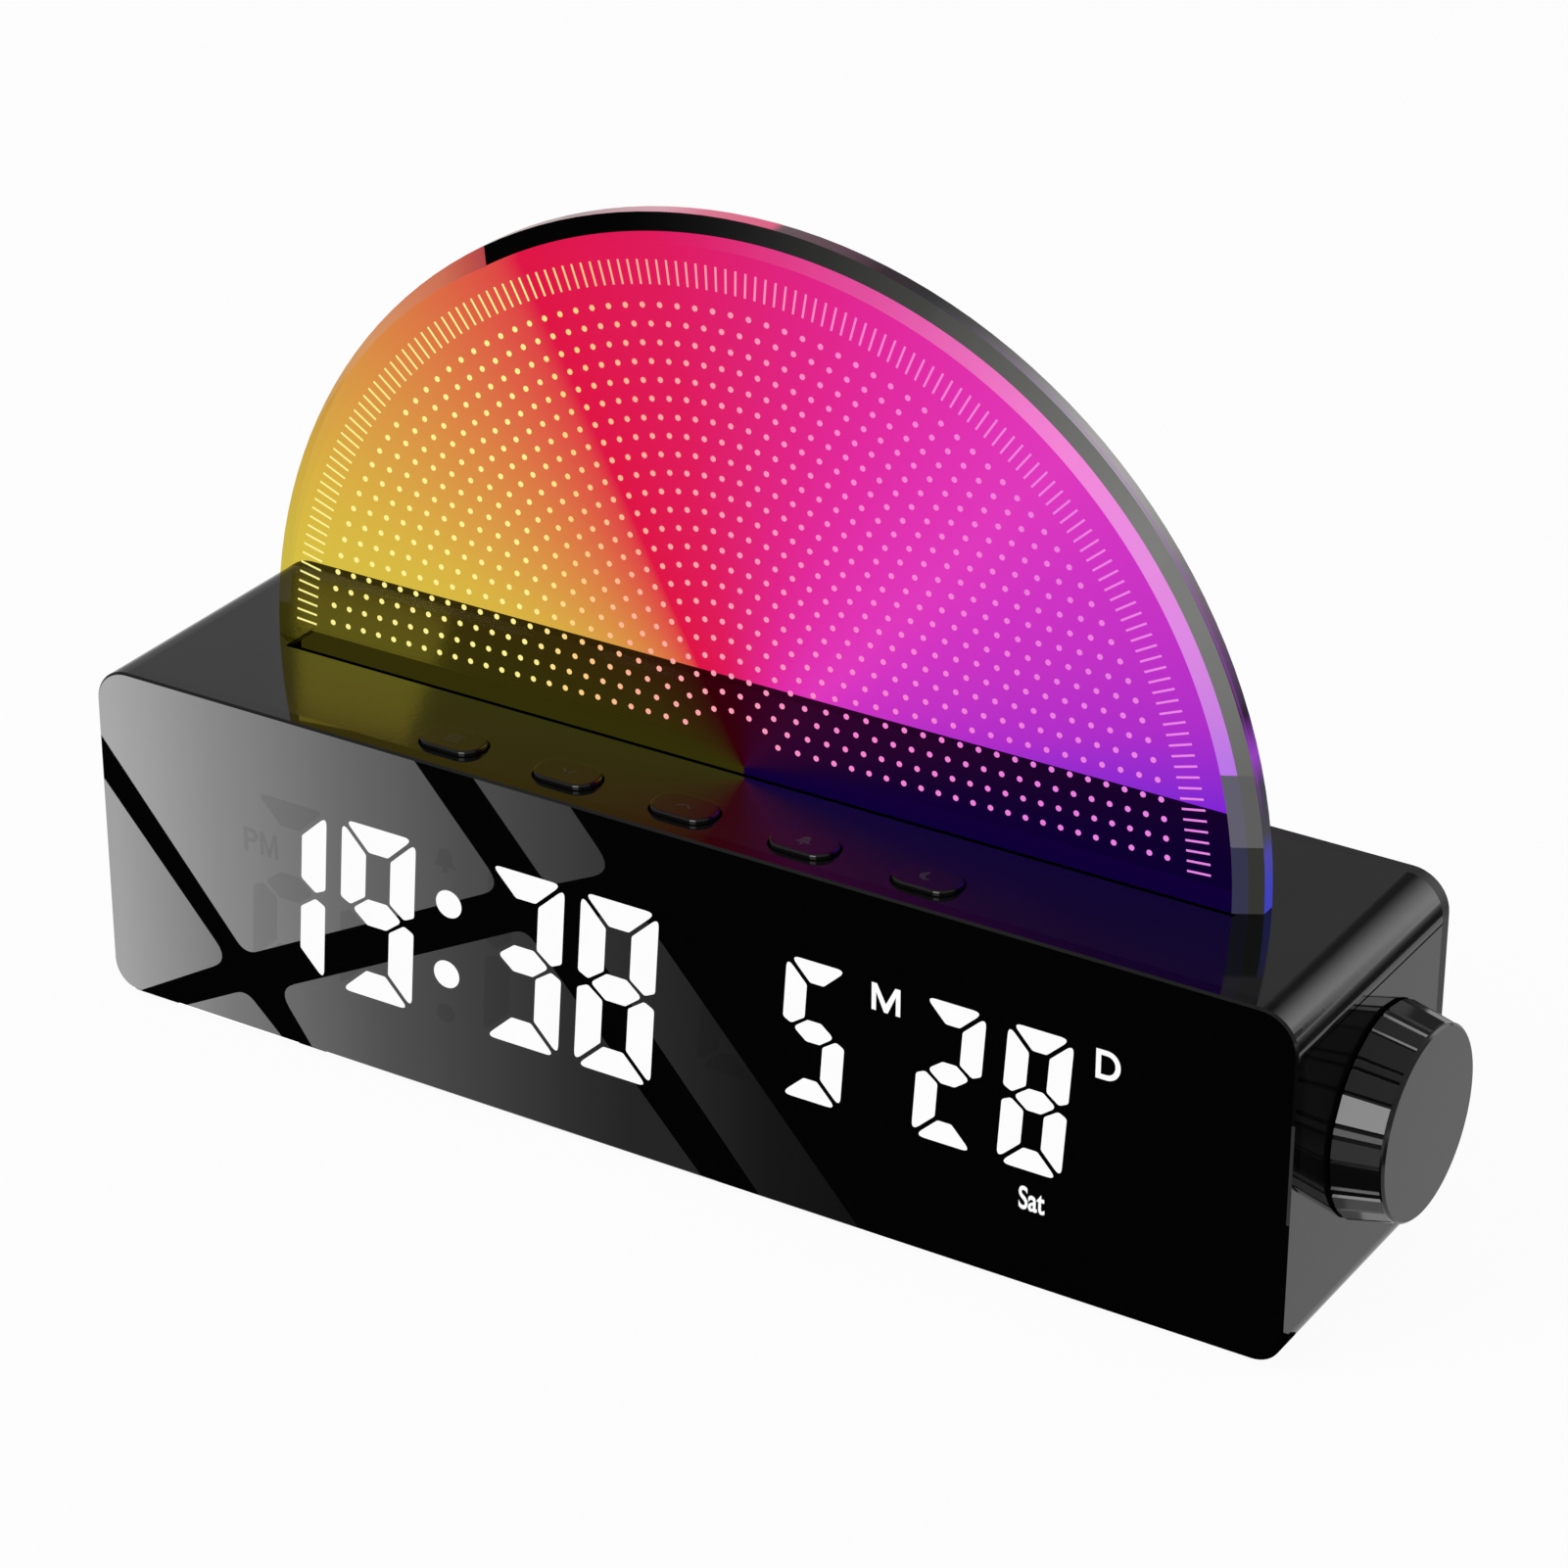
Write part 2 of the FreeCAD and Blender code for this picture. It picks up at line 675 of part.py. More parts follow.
board_left = "main_board_left"
board_right = "(main_board_left + main_board_width)"
board_front = f"({INSIDE_BACK} - main_board_gap - main_board_depth)"
board_back = f"({INSIDE_BACK} - main_board_gap)"
board_screw_places = [
    (f"({board_left} + board_screw_inset)", f"({board_front} + board_screw_inset)"),
    (f"({board_right} - board_screw_inset)", f"({board_front} + board_screw_inset)"),
    (f"({board_right} - board_screw_inset)", f"({board_back} - board_screw_inset)"),
    (f"({board_left} + board_screw_inset)", f"({board_back} - board_screw_inset)"),
]
board_posts = plane_sketch(base_tub, "board_posts", "XY_Plane", GROUND)
for x, y in board_screw_places:
    circle(board_posts, x, y, BOSS_RADIUS)
pad(base_tub, board_posts, "standoff")
post_pilots = plane_sketch(base_tub, "post_pilots", "XY_Plane", BOARD_BOTTOM)
for x, y in board_screw_places:
    circle(post_pilots, x, y, PILOT_RADIUS)
pocket(base_tub, post_pilots, "standoff")

display_shelves = plane_sketch(base_tub, "display_shelves", "XY_Plane", GROUND)
for x in both_sides("(reflector_width / 3)"):
    half = "display_shelf_width / 2"
    rectangle(display_shelves, f"{x} - {half}", f"{x} + {half}", BEHIND_PANEL, REFLECTOR_BACK)
pad(base_tub, display_shelves, f"{REFLECTOR_BOTTOM} - {GROUND}")
corner_blocks(base_tub, GROUND, f"{GROUND} + corner_block", LOW_SCREW_Z, "low_blocks")


# Rear cover

rear_cover = new_body("rear_cover")
rear_outline = sketch_facing_front(rear_cover, "rear_outline", INSIDE_BACK)
rounded(rear_outline, f"0 - {SIDE}", SIDE, FLOOR, TOP, "bottom_radius", "top_radius")
pad(rear_cover, rear_outline, "rear_thickness", flip=True)
back_y = number(BACK)
dress_edges(rear_cover, "Chamfer", "Size", "rear_chamfer", lambda box: box.YMin > back_y - 0.01)

rear_screw_places = [(x, z) for z in (LOW_SCREW_Z, HIGH_SCREW_Z) for x in both_sides(REAR_SCREW_X)]
rear_holes = sketch_facing_front(rear_cover, "rear_holes", INSIDE_BACK)
head_holes = sketch_facing_front(rear_cover, "head_holes", f"({BACK} - head_height)")
for x, z in rear_screw_places:
    circle(rear_holes, x, z, SCREW_HOLE_RADIUS)
    circle(head_holes, x, z, HEAD_HOLE_RADIUS)
pocket(rear_cover, rear_holes, "rear_thickness")
pocket(rear_cover, head_holes, "head_height")

usb_bottom = f"({BOARD_TOP} - usb_gap)"
usb_top = f"({BOARD_TOP} + usb_height + usb_gap)"
usb_opening = sketch_facing_front(rear_cover, "usb_opening", INSIDE_BACK)
rounded(
    usb_opening,
    "usb_x - usb_width / 2 - usb_gap",
    "usb_x + usb_width / 2 + usb_gap",
    usb_bottom,
    usb_top,
    "usb_corner + usb_gap",
    "usb_corner + usb_gap",
)
pocket(rear_cover, usb_opening, "rear_thickness")

speaker_screw_offset = "(speaker_width / 2 - speaker_screw_inset)"
speaker_screw_places = [
    (f"({SPEAKER_X} {side} {speaker_screw_offset})", f"({SPEAKER_Z} {level} {speaker_screw_offset})")
    for side in "-+" for level in "-+"
]
speaker_bosses = sketch_facing_front(rear_cover, "speaker_bosses", FLANGE_BACK)
speaker_pilots = sketch_facing_front(rear_cover, "speaker_pilots", FLANGE_BACK)
for x, z in speaker_screw_places:
    circle(speaker_bosses, x, z, BOSS_RADIUS)
    circle(speaker_pilots, x, z, PILOT_RADIUS)
pad(rear_cover, speaker_bosses, "gasket_thickness", flip=True)
pocket(rear_cover, speaker_pilots, "gasket_thickness + rear_thickness / 2")

grille_slot = sketch_facing_front(rear_cover, "grille_slot", INSIDE_BACK)
first_slot = f"({SPEAKER_X} - grille_pitch * (grille_slots - 1) / 2)"
rounded(
    grille_slot,
    f"{first_slot} - grille_slot_width / 2",
    f"{first_slot} + grille_slot_width / 2",
    f"{SPEAKER_Z} - grille_height / 2",
    f"{SPEAKER_Z} + grille_height / 2",
    "grille_slot_radius",
    "grille_slot_radius",
)
grille_row = pocket(rear_cover, grille_slot, "rear_thickness")
repeat_along_x(rear_cover, grille_row, "grille_pitch", "grille_slots")


# Feet and rear screws

feet = []
for x, y in foot_places:
    feet.append(rod("foot", (x, y, "0"), Vector(0, 0, 1), "foot_radius", "foot_height + foot_recess"))
keep(group("foot_pads", feet), "foot_pads")
screws(
    "rear_screws",
    "rear_screw_length",
    Vector(0, -1, 0),
    [(x, f"{BACK} - head_height", z) for x, z in rear_screw_places],
)


# Light plate

light_plate = new_body("light_plate")
plate_sketch = sketch_facing_front(light_plate, "plate_outline", PLATE_FRONT)
plate_top = number(TOP)
radius = number("plate_radius")
rim = Part.Circle(Vector(0, plate_top, 0), Vector(0, 0, 1), radius)
plate_sketch.addGeometry(Part.ArcOfCircle(rim, 0, math.pi))
tongue = [
    ("0 - plate_radius", TOP),
    (f"0 - {TONGUE_HALF}", TOP),
    (f"0 - {TONGUE_HALF}", TONGUE_END),
    (TONGUE_HALF, TONGUE_END),
    (TONGUE_HALF, TOP),
    ("plate_radius", TOP),
]
corners = [Vector(number(x), number(z), 0) for x, z in tongue]
for place, (start, end) in enumerate(zip(corners, corners[1:]), start=1):
    plate_sketch.addGeometry(Part.LineSegment(start, end))
    plate_sketch.addConstraint(Sketcher.Constraint("Coincident", place - 1, 2, place, 1))
plate_sketch.addConstraint(Sketcher.Constraint("Coincident", len(tongue) - 1, 2, 0, 1))
dimension(plate_sketch, "DistanceX", 0, 3, "0")
dimension(plate_sketch, "DistanceY", 0, 3, TOP)
for line, (x, z) in enumerate(tongue[:-1], start=1):
    if line > 1:
        dimension(plate_sketch, "DistanceX", line, 1, x)
    dimension(plate_sketch, "DistanceY", line, 1, z)
dimension(plate_sketch, "DistanceY", 0, 1, TOP)
rim_radius = plate_sketch.addConstraint(Sketcher.Constraint("Radius", 0, radius))
bind(plate_sketch, f"Constraints[{rim_radius}]", "plate_radius")
pad(light_plate, plate_sketch, "plate_thickness", flip=True)
plate_front_y = number(PLATE_FRONT)
plate_back_y = number(PLATE_BACK)
front_bevel = dress_edges(
    light_plate,
    "Chamfer",
    "Size",
    "front_bevel_depth",
    lambda box: box.YMax < plate_front_y + 0.01 and box.ZLength > radius / 2,
)
front_bevel.ChamferType = "Two distances"
bind(front_bevel, "Size2", "front_bevel_width")
dress_edges(
    light_plate,
    "Chamfer",
    "Size",
    "back_bevel",
    lambda box: box.YMin > plate_back_y - 0.01 and box.ZLength > radius / 2,
)

# Plate holder: a channel with an ear at each end
channel_half = f"({TONGUE_HALF} + holder_gap)"
holder_outside = block(
    "holder_outside",
    (f"0 - {HOLDER_HALF}", f"{PLATE_FRONT} - holder_gap - holder_wall", HOLDER_BOTTOM),
    (HOLDER_HALF, f"{PLATE_BACK} + holder_gap + holder_wall", CEILING),
)
channel = block(
    "channel",
    (f"0 - {channel_half}", f"{PLATE_FRONT} - holder_gap", CHANNEL_FLOOR),
    (channel_half, f"{PLATE_BACK} + holder_gap", f"{CEILING} + holder_wall"),
)
STRIP_LEAD_X = "(main_board_left + main_board_width - strip_lead_inset)"
lead_hole = block(
    "lead_hole",
    (f"{STRIP_LEAD_X} - lead_width / 2 - holder_gap", f"{PLATE_MIDDLE} - 2 * lead_thickness", HOLDER_BOTTOM),
    (f"{STRIP_LEAD_X} + lead_width / 2 + holder_gap", f"{PLATE_MIDDLE} + 2 * lead_thickness", CHANNEL_FLOOR),
)
EAR_TOP = f"({CEILING} - holder_boss_height)"
ears = []
ear_holes = []
for side in (1, -1):
    near = f"{side} * {HOLDER_HALF}"
    far = f"{side} * ({HOLDER_HALF} + holder_ear)"
    low_x, high_x = (near, far) if side > 0 else (far, near)
    ears.append(block(
        "ear",
        (low_x, f"{PLATE_FRONT} - holder_gap - holder_wall", f"{EAR_TOP} - ear_thickness"),
        (high_x, f"{PLATE_BACK} + holder_gap + holder_wall", EAR_TOP),
    ))
    ear_holes.append(rod(
        "ear_hole",
        (f"{side} * {EAR_MIDDLE}", PLATE_MIDDLE, f"{EAR_TOP} - ear_thickness"),
        Vector(0, 0, 1),
        SCREW_HOLE_RADIUS,
        "ear_thickness",
    ))
holder_body = fuse("holder_body", [holder_outside] + ears)
keep(cut("plate_holder", holder_body, [channel, lead_hole] + ear_holes), "plate_holder")
screws(
    "holder_screws",
    "short_screw_length",
    Vector(0, 0, 1),
    [(x, y, f"{EAR_TOP} - ear_thickness") for x, y in holder_screw_places],
)

strip_half = f"({TONGUE_HALF} - plate_shoulder)"
keep(block(
    "strip_board",
    (f"0 - {strip_half}", PLATE_FRONT, CHANNEL_FLOOR),
    (strip_half, PLATE_BACK, STRIP_TOP),
), "strip_board")

strip_leds = []
strip_led_count = int(2 * number(strip_half) / number("strip_led_pitch"))
for place in range(strip_led_count):
    x = (place - (strip_led_count - 1) / 2) * number("strip_led_pitch") - number("strip_led_width") / 2
    corner = Vector(x, number(f"{PLATE_MIDDLE} - strip_led_depth / 2"), number(STRIP_TOP))
    strip_leds.append(Part.makeBox(
        number("strip_led_width"), number("strip_led_depth"), number("strip_led_height"), corner))
keep(placed("strip_leds", Part.makeCompound(strip_leds)), "strip_leds")


# Buttons: a cap with a flange and a stem, and the switch plunger under it

BUTTON_NAMES = ("mode", "down", "up", "alarm", "snooze")


def button_cap(name, x):
    body = new_body(name + "_button")
    top = plane_sketch(body, "cap_outline", "XY_Plane", f"{CEILING} - button_play")
    cap_sides = (*about(x, "button_width / 2"), *about(BUTTON_MIDDLE, "button_depth / 2"))
    rounded(top, *cap_sides, "button_radius", "button_radius")
    pad(body, top, "wall + button_play + button_proud")
    cap_top = number(f"{TOP} + button_proud")
    dress_edges(body, "Fillet", "Radius", "button_edge", lambda box: box.ZMin > cap_top - 0.01)
    flange = plane_sketch(body, "flange_outline", "XY_Plane", FLANGE_BOTTOM)
    rim_x = "(button_width / 2 + flange_rim)"
    rim_y = "(button_depth / 2 + flange_rim)"
    rectangle(flange, *about(x, rim_x), *about(BUTTON_MIDDLE, rim_y))
    pad(body, flange, "flange_thickness")
    stem = plane_sketch(body, "stem_outline", "XY_Plane", PLUNGER_TOP)
    rectangle(stem, *about(x, "stem_width / 2"), *about(BUTTON_MIDDLE, "stem_width / 2"))
    pad(body, stem, "stem_length")


switch_housings = []
for place, name in enumerate(BUTTON_NAMES):
    x = f"({place - 2} * button_pitch)"
    button_cap(name, x)
    keep(rod(
        name + "_plunger",
        (x, BUTTON_MIDDLE, f"{SWITCH_TOP} - plunger_depth"),
        Vector(0, 0, 1),
        "plunger_radius",
        "plunger_proud + plunger_depth",
    ), name + "_plunger")
    housing = block(
        "switch_block",
        (f"{x} - switch_width / 2", f"{BUTTON_MIDDLE} - switch_width / 2", BUTTON_BOARD_TOP),
        (f"{x} + switch_width / 2", f"{BUTTON_MIDDLE} + switch_width / 2", SWITCH_TOP),
    )
    plunger_depth = "(plunger_depth + button_travel + button_play)"
    plunger_hole = rod(
        "plunger_hole",
        (x, BUTTON_MIDDLE, f"{SWITCH_TOP} - {plunger_depth}"),
        Vector(0, 0, 1),
        "plunger_radius + plunger_gap",
        plunger_depth,
    )
    switch_housings.append(cut("switch_housing", housing, [plunger_hole]))
keep(group("tact_switches", switch_housings), "tact_switches")

button_board_half = "(2 * button_pitch + button_board_overhang)"
button_board_blank = block(
    "button_board_blank",
    (f"0 - {button_board_half}", f"{BEHIND_PANEL} + board_clearance", BUTTON_BOARD_BOTTOM),
    (button_board_half, BUTTON_BOARD_BACK, BUTTON_BOARD_TOP),
)
button_board_holes = [
    rod("button_board_hole", (x, y, BUTTON_BOARD_BOTTOM), Vector(0, 0, 1), SCREW_HOLE_RADIUS,
        "button_board_thickness")
    for x, y in button_screw_places
]
keep(cut("button_board", button_board_blank, button_board_holes), "button_board")
screws(
    "button_board_screws",
    "short_screw_length",
    Vector(0, 0, 1),
    [(x, y, BUTTON_BOARD_BOTTOM) for x, y in button_screw_places],
)


# Display

def segment_outlines(width, height, stroke, joint):
    """The seven segments of an upright digit, each a closed list of points with mitred ends."""
    half = height / 2
    inner = stroke + joint
    low = half - stroke / 2
    high = half + stroke / 2
    point = stroke / 2
    notch = stroke / 5

    def mirrored(points):
        return [(width - x, z) for x, z in points]

    def lowered(points):
        return [(x, height - z) for x, z in points]

    top = [
        (joint, height),
        (width - joint, height),
        (width - inner, height - stroke),
        (inner, height - stroke),
    ]
    upper_left = [
        (0, height - joint),
        (stroke, height - inner),
        (stroke, high + joint / 2),
        (2 * notch, half + joint),
        (0, half + joint + notch),
    ]
    upper_right = mirrored(upper_left)
    middle = [
        (point, half),
        (inner, high),
        (width - inner, high),
        (width - point, half),
        (width - inner, low),
        (inner, low),
    ]
    return [top, upper_left, upper_right, middle, lowered(upper_left), lowered(upper_right), lowered(top)]


def grown(points, amount):
    """Each point of a convex outline moved away from the outline's middle."""
    middle_x = sum(x for x, _ in points) / len(points)
    middle_z = sum(z for _, z in points) / len(points)
    moved = []
    for x, z in points:
        reach = math.hypot(x - middle_x, z - middle_z)
        scale = (reach + amount) / reach
        moved.append((middle_x + (x - middle_x) * scale, middle_z + (z - middle_z) * scale))
    return moved


def digit_cells():
    """Left edge, width, height and stroke of each digit, from the left."""
    big = (number("big_width"), number("big_height"), number("big_stroke"))
    small = (number("small_width"), number("small_height"), number("small_stroke"))
    pairs = (
        ("hour_left", "big_pitch", big),
        ("minute_left", "big_pitch", big),
        ("month_left", "small_pitch", small),
        ("day_left", "small_pitch", small),
    )
    cells = []
    for left, pitch, sizes_of_one in pairs:
        for place in range(2):
            cells.append((number(f"{left} + {place} * {pitch}"), *sizes_of_one))
    return cells


def segment_solids(front, depth, growth):
    """All segments and the colon as prisms from front, depth deep."""
    lean = math.tan(math.radians(number("digit_slant")))
    solids = []
    for left, width, height, stroke in digit_cells():
        bottom = number(DIGIT_TOP) - height
        for points in segment_outlines(width, height, stroke, number("digit_joint")):
            corners = [Vector(left + x + z * lean, front, bottom + z) for x, z in grown(points, growth)]
            face = Part.Face(Part.makePolygon(corners + corners[:1]))
            solids.append(face.extrude(Vector(0, depth, 0)))
    for drop in ("colon_high_drop", "colon_low_drop"):
        rise = number(f"colon_low_drop - {drop}")
        centre = Vector(number("colon_x") + rise * lean, front, number(f"{DIGIT_TOP} - {drop}"))
        solids.append(Part.makeCylinder(number("colon_radius") + growth, depth, centre, Vector(0, 1, 0)))
    return solids


panel_back = number(BEHIND_PANEL)
segments = segment_solids(panel_back, number("segment_depth"), 0)
keep(placed("digit_segments", Part.makeCompound(segments)), "digit_segments")

light_wells = placed("light_wells", Part.makeCompound(
    segment_solids(panel_back, number("reflector_depth"), number("segment_gap"))))
reflector_half = "(reflector_width / 2)"
reflector_block = block(
    "reflector_block",
    (f"0 - {reflector_half}", BEHIND_PANEL, REFLECTOR_BOTTOM),
    (reflector_half, REFLECTOR_BACK, REFLECTOR_TOP),
)
display_screw_inset = f"({BOSS_RADIUS})"
display_screw_places = [
    (x, z)
    for x in both_sides(f"({reflector_half} - {display_screw_inset})")
    for z in (f"({REFLECTOR_BOTTOM} + {display_screw_inset})", f"({REFLECTOR_TOP} - {display_screw_inset})")
]
reflector_pilots = [
    rod("reflector_pilot", (x, REFLECTOR_BACK, z), Vector(0, -1, 0), PILOT_RADIUS, "short_screw_length")
    for x, z in display_screw_places
]
keep(cut("display_reflector", reflector_block, [light_wells] + reflector_pilots), "display_reflector")

segment_leds = []
led_width = number("segment_led_width")
led_height = number("segment_led_height")
led_front = number(f"{REFLECTOR_BACK} - segment_led_height")
for solid in segments:
    middle = solid.CenterOfMass
    corner = Vector(middle.x - led_width / 2, led_front, middle.z - led_width / 2)
    segment_leds.append(Part.makeBox(led_width, led_height, led_width, corner))
keep(placed("segment_leds", Part.makeCompound(segment_leds)), "segment_leds")

display_board_half = f"({reflector_half} + display_board_overhang)"
display_board_blank = block(
    "display_board_blank",
    (f"0 - {display_board_half}", REFLECTOR_BACK, REFLECTOR_BOTTOM),
    (display_board_half, DISPLAY_BOARD_BACK, REFLECTOR_TOP),
)
display_board_holes = [
    rod("display_board_hole", (x, REFLECTOR_BACK, z), Vector(0, 1, 0), SCREW_HOLE_RADIUS,
        "display_board_thickness")
    for x, z in display_screw_places
]
keep(cut("display_board", display_board_blank, display_board_holes), "display_board")
screws(
    "display_screws",
    "short_screw_length",
    Vector(0, -1, 0),
    [(x, DISPLAY_BOARD_BACK, z) for x, z in display_screw_places],
)


# Knob: ten sectors, each with a wide, a narrow and a medium flat, parted by fine grooves

SECTORS = 10
FLATS = (17.0, 6.0, 13.0)


def knob_section(x, radius):
    """The knob's outline at one X: flats with a groove at each corner between them."""
    middle = Vector(x, number(KNOB_Y), number(KNOB_Z))
    angles = []
    turn = 0.0
    for sector in range(SECTORS):
        for flat in FLATS:
            angles.append(turn)
            turn += flat * 360 / (SECTORS * sum(FLATS))
    half_groove = number("flute_width") / 2
    points = []

    def at(reach, angle):
        lean = math.radians(angle)
        return middle + Vector(0, reach * math.cos(lean), reach * math.sin(lean))

    for before, angle, after in zip(angles[-1:] + angles[:-1], angles, angles[1:] + angles[:1]):
        corner = at(radius, angle)
        for neighbour in (before, None, after):
            if neighbour is None:
                points.append(at(radius - number("flute_depth"), angle))
            else:
                along = (at(radius, neighbour) - corner).normalize()
                points.append(corner + along * half_groove)
    return Part.makePolygon(points + points[:1])


def knob_cylinder(start, end, radius):
    """A cylinder on the knob's axis."""
    base = Vector(number(start), number(KNOB_Y), number(KNOB_Z))
    return Part.makeCylinder(number(radius), number(f"({end}) - ({start})"), base, Vector(1, 0, 0))


RIM_START = f"({KNOB_FACE} - knob_rim)"
skirt = Part.makeLoft([
    knob_section(number(KNOB_BASE), number("knob_base_radius")),
    knob_section(number(RIM_START), number("knob_face_radius")),
], True, True)
face_disc = knob_cylinder(RIM_START, KNOB_FACE, "knob_face_radius")
face_x = number(KNOB_FACE)
face_edges = [edge for edge in face_disc.Edges if edge.BoundBox.XMin > face_x - 0.01]
face_disc = face_disc.makeChamfer(number("knob_edge"), face_edges)
knob_shape = skirt.fuse(face_disc)
knob_shape = knob_shape.cut(knob_cylinder(KNOB_BASE, CAVITY_END, "knob_cavity_radius"))
knob_shape = knob_shape.fuse(knob_cylinder(HUB_START, CAVITY_END, "knob_hub_radius"))


def shaft_blank(start, end, fit):
    """A D shaft, or with a fit the hole for one."""
    round_part = knob_cylinder(start, end, f"shaft_radius + {fit}")
    flat_y = number(f"{KNOB_Y} + shaft_radius - shaft_flat + {fit}")
    width = number("shaft_radius") * 4
    corner = Vector(number(start), flat_y, number(KNOB_Z) - width / 2)
    return round_part.cut(Part.makeBox(number(f"({end}) - ({start})"), width, width, corner))


knob_shape = knob_shape.cut(shaft_blank(HUB_START, CAVITY_END, "shaft_fit")).removeSplitter()
keep(placed("control_knob", knob_shape), "control_knob")

BORE_START = f"({ENCODER_LEFT} + encoder_back)"
round_shaft = knob_cylinder(f"{BORE_START} + shaft_fit", HUB_START, "shaft_radius")
shaft_shape = round_shaft.fuse(shaft_blank(HUB_START, f"{CAVITY_END} - shaft_fit", "0")).removeSplitter()
keep(placed("encoder_shaft", shaft_shape), "encoder_shaft")

encoder_block = block(
    "encoder_block",
    (ENCODER_LEFT, f"{KNOB_Y} - encoder_width / 2", f"{KNOB_Z} - encoder_width / 2"),
    (INSIDE, f"{KNOB_Y} + encoder_width / 2", f"{KNOB_Z} + encoder_width / 2"),
)
bushing_length = f"{BUSHING_END} - {INSIDE}"
bushing = rod("bushing", (INSIDE, KNOB_Y, KNOB_Z), Vector(1, 0, 0), "bushing_radius", bushing_length)
shaft_bore = rod(
    "shaft_bore",
    (BORE_START, KNOB_Y, KNOB_Z),
    Vector(1, 0, 0),
    "shaft_radius + shaft_fit",
    f"{BUSHING_END} - {BORE_START}",
)
keep(cut("encoder_body", fuse("encoder_blank", [encoder_block, bushing]), [shaft_bore]), "encoder_body")

keep(block(
    "encoder_board",
    (f"{ENCODER_LEFT} - encoder_board_thickness", f"{KNOB_Y} - encoder_board_width / 2",
     f"{KNOB_Z} - encoder_board_width / 2"),
    (ENCODER_LEFT, f"{KNOB_Y} + encoder_board_width / 2", f"{KNOB_Z} + encoder_board_width / 2"),
), "encoder_board")

bushing_clear = "bushing_radius + thread_gap"
washer_disc = rod("washer_disc", (SIDE, KNOB_Y, KNOB_Z), Vector(1, 0, 0), "washer_radius", "washer_thickness")
washer_hole = rod("washer_hole", (SIDE, KNOB_Y, KNOB_Z), Vector(1, 0, 0), bushing_clear, "washer_thickness")
keep(cut("encoder_washer", washer_disc, [washer_hole]), "encoder_washer")

nut_x = f"({SIDE} + washer_thickness)"
hexagon = doc.addObject("Part::Prism", "hexagon")
hexagon.Polygon = 6
hexagon.Placement.Rotation = FreeCAD.Rotation(Vector(0, 0, 1), Vector(1, 0, 0))
bind(hexagon, "Circumradius", "nut_flats / 2 / cos(30)")
bind(hexagon, "Height", "nut_thickness")
bind(hexagon, "Placement.Base.x", f"{MIDDLE} + {nut_x}")
bind(hexagon, "Placement.Base.y", KNOB_Y)
bind(hexagon, "Placement.Base.z", KNOB_Z)
nut_hole = rod("nut_hole", (nut_x, KNOB_Y, KNOB_Z), Vector(1, 0, 0), bushing_clear, "nut_thickness")
keep(cut("encoder_nut", hexagon, [nut_hole]), "encoder_nut")


# Speaker, screwed to the inside of the rear cover

def speaker_rod(name, start, radius, length, direction=1):
    return rod(name, (SPEAKER_X, start, SPEAKER_Z), Vector(0, direction, 0), radius, length)


speaker_half = "(speaker_width / 2)"
gasket_disc = speaker_rod("gasket_disc", FLANGE_BACK, "basket_radius + gasket_width / 2", "gasket_thickness")
gasket_hole = speaker_rod("gasket_hole", FLANGE_BACK, "basket_radius - gasket_width / 2", "gasket_thickness")
keep(cut("speaker_gasket", gasket_disc, [gasket_hole]), "speaker_gasket")


def revolved(points):
    """Turn an outline of (radius, distance behind the rear cover's inside) about the speaker's axis."""
    axis = Vector(number(SPEAKER_X), 0, number(SPEAKER_Z))
    back = number(INSIDE_BACK)
    corners = [axis + Vector(radius, back - depth, 0) for radius, depth in points]
    face = Part.Face(Part.makePolygon(corners + corners[:1]))
    return face.revolve(axis, Vector(0, 1, 0), 360)


flange_depth = number("gasket_thickness")
basket_start = number("gasket_thickness + speaker_flange")
basket_end = number("gasket_thickness + speaker_flange + basket_depth")
basket_wall = number("basket_wall")
wide = number("basket_radius")
narrow = number("basket_back_radius")
basket = revolved([
    (wide - basket_wall, flange_depth),
    (wide, flange_depth),
    (wide, basket_start),
    (narrow, basket_end),
    (number("voice_coil_radius") + 2 * basket_wall, basket_end),
    (number("voice_coil_radius") + 2 * basket_wall, basket_end - basket_wall),
    (narrow - basket_wall, basket_end - basket_wall),
    (wide - basket_wall, basket_start),
])
speaker_side = number("speaker_width")
flange_thick = number("speaker_flange")
flange_middle = Vector(number(SPEAKER_X), number(FLANGE_FRONT), number(SPEAKER_Z))
flange_corner = flange_middle - Vector(speaker_side / 2, 0, speaker_side / 2)
flange_plate = Part.makeBox(speaker_side, flange_thick, speaker_side, flange_corner)
flange_holes = [(flange_middle, wide - basket_wall)]
for x, z in speaker_screw_places:
    flange_holes.append((Vector(number(x), flange_middle.y, number(z)), number(SCREW_HOLE_RADIUS)))
for hole_middle, hole_size in flange_holes:
    flange_plate = flange_plate.cut(Part.makeCylinder(hole_size, flange_thick, hole_middle, Vector(0, 1, 0)))
keep(placed("speaker_frame", basket.fuse(flange_plate).removeSplitter()), "speaker_frame")

magnet_disc = speaker_rod("magnet_disc", BASKET_BACK, "magnet_radius", "magnet_depth", -1)
coil_space = speaker_rod("coil_space", BASKET_BACK, "voice_coil_radius + coil_gap", "coil_depth", -1)
pole = speaker_rod("pole", BASKET_BACK, "voice_coil_radius - coil_gap", "coil_depth", -1)
magnet_cup = cut("magnet_cup", magnet_disc, [coil_space])
keep(fuse("speaker_magnet", [magnet_cup, pole]), "speaker_magnet")

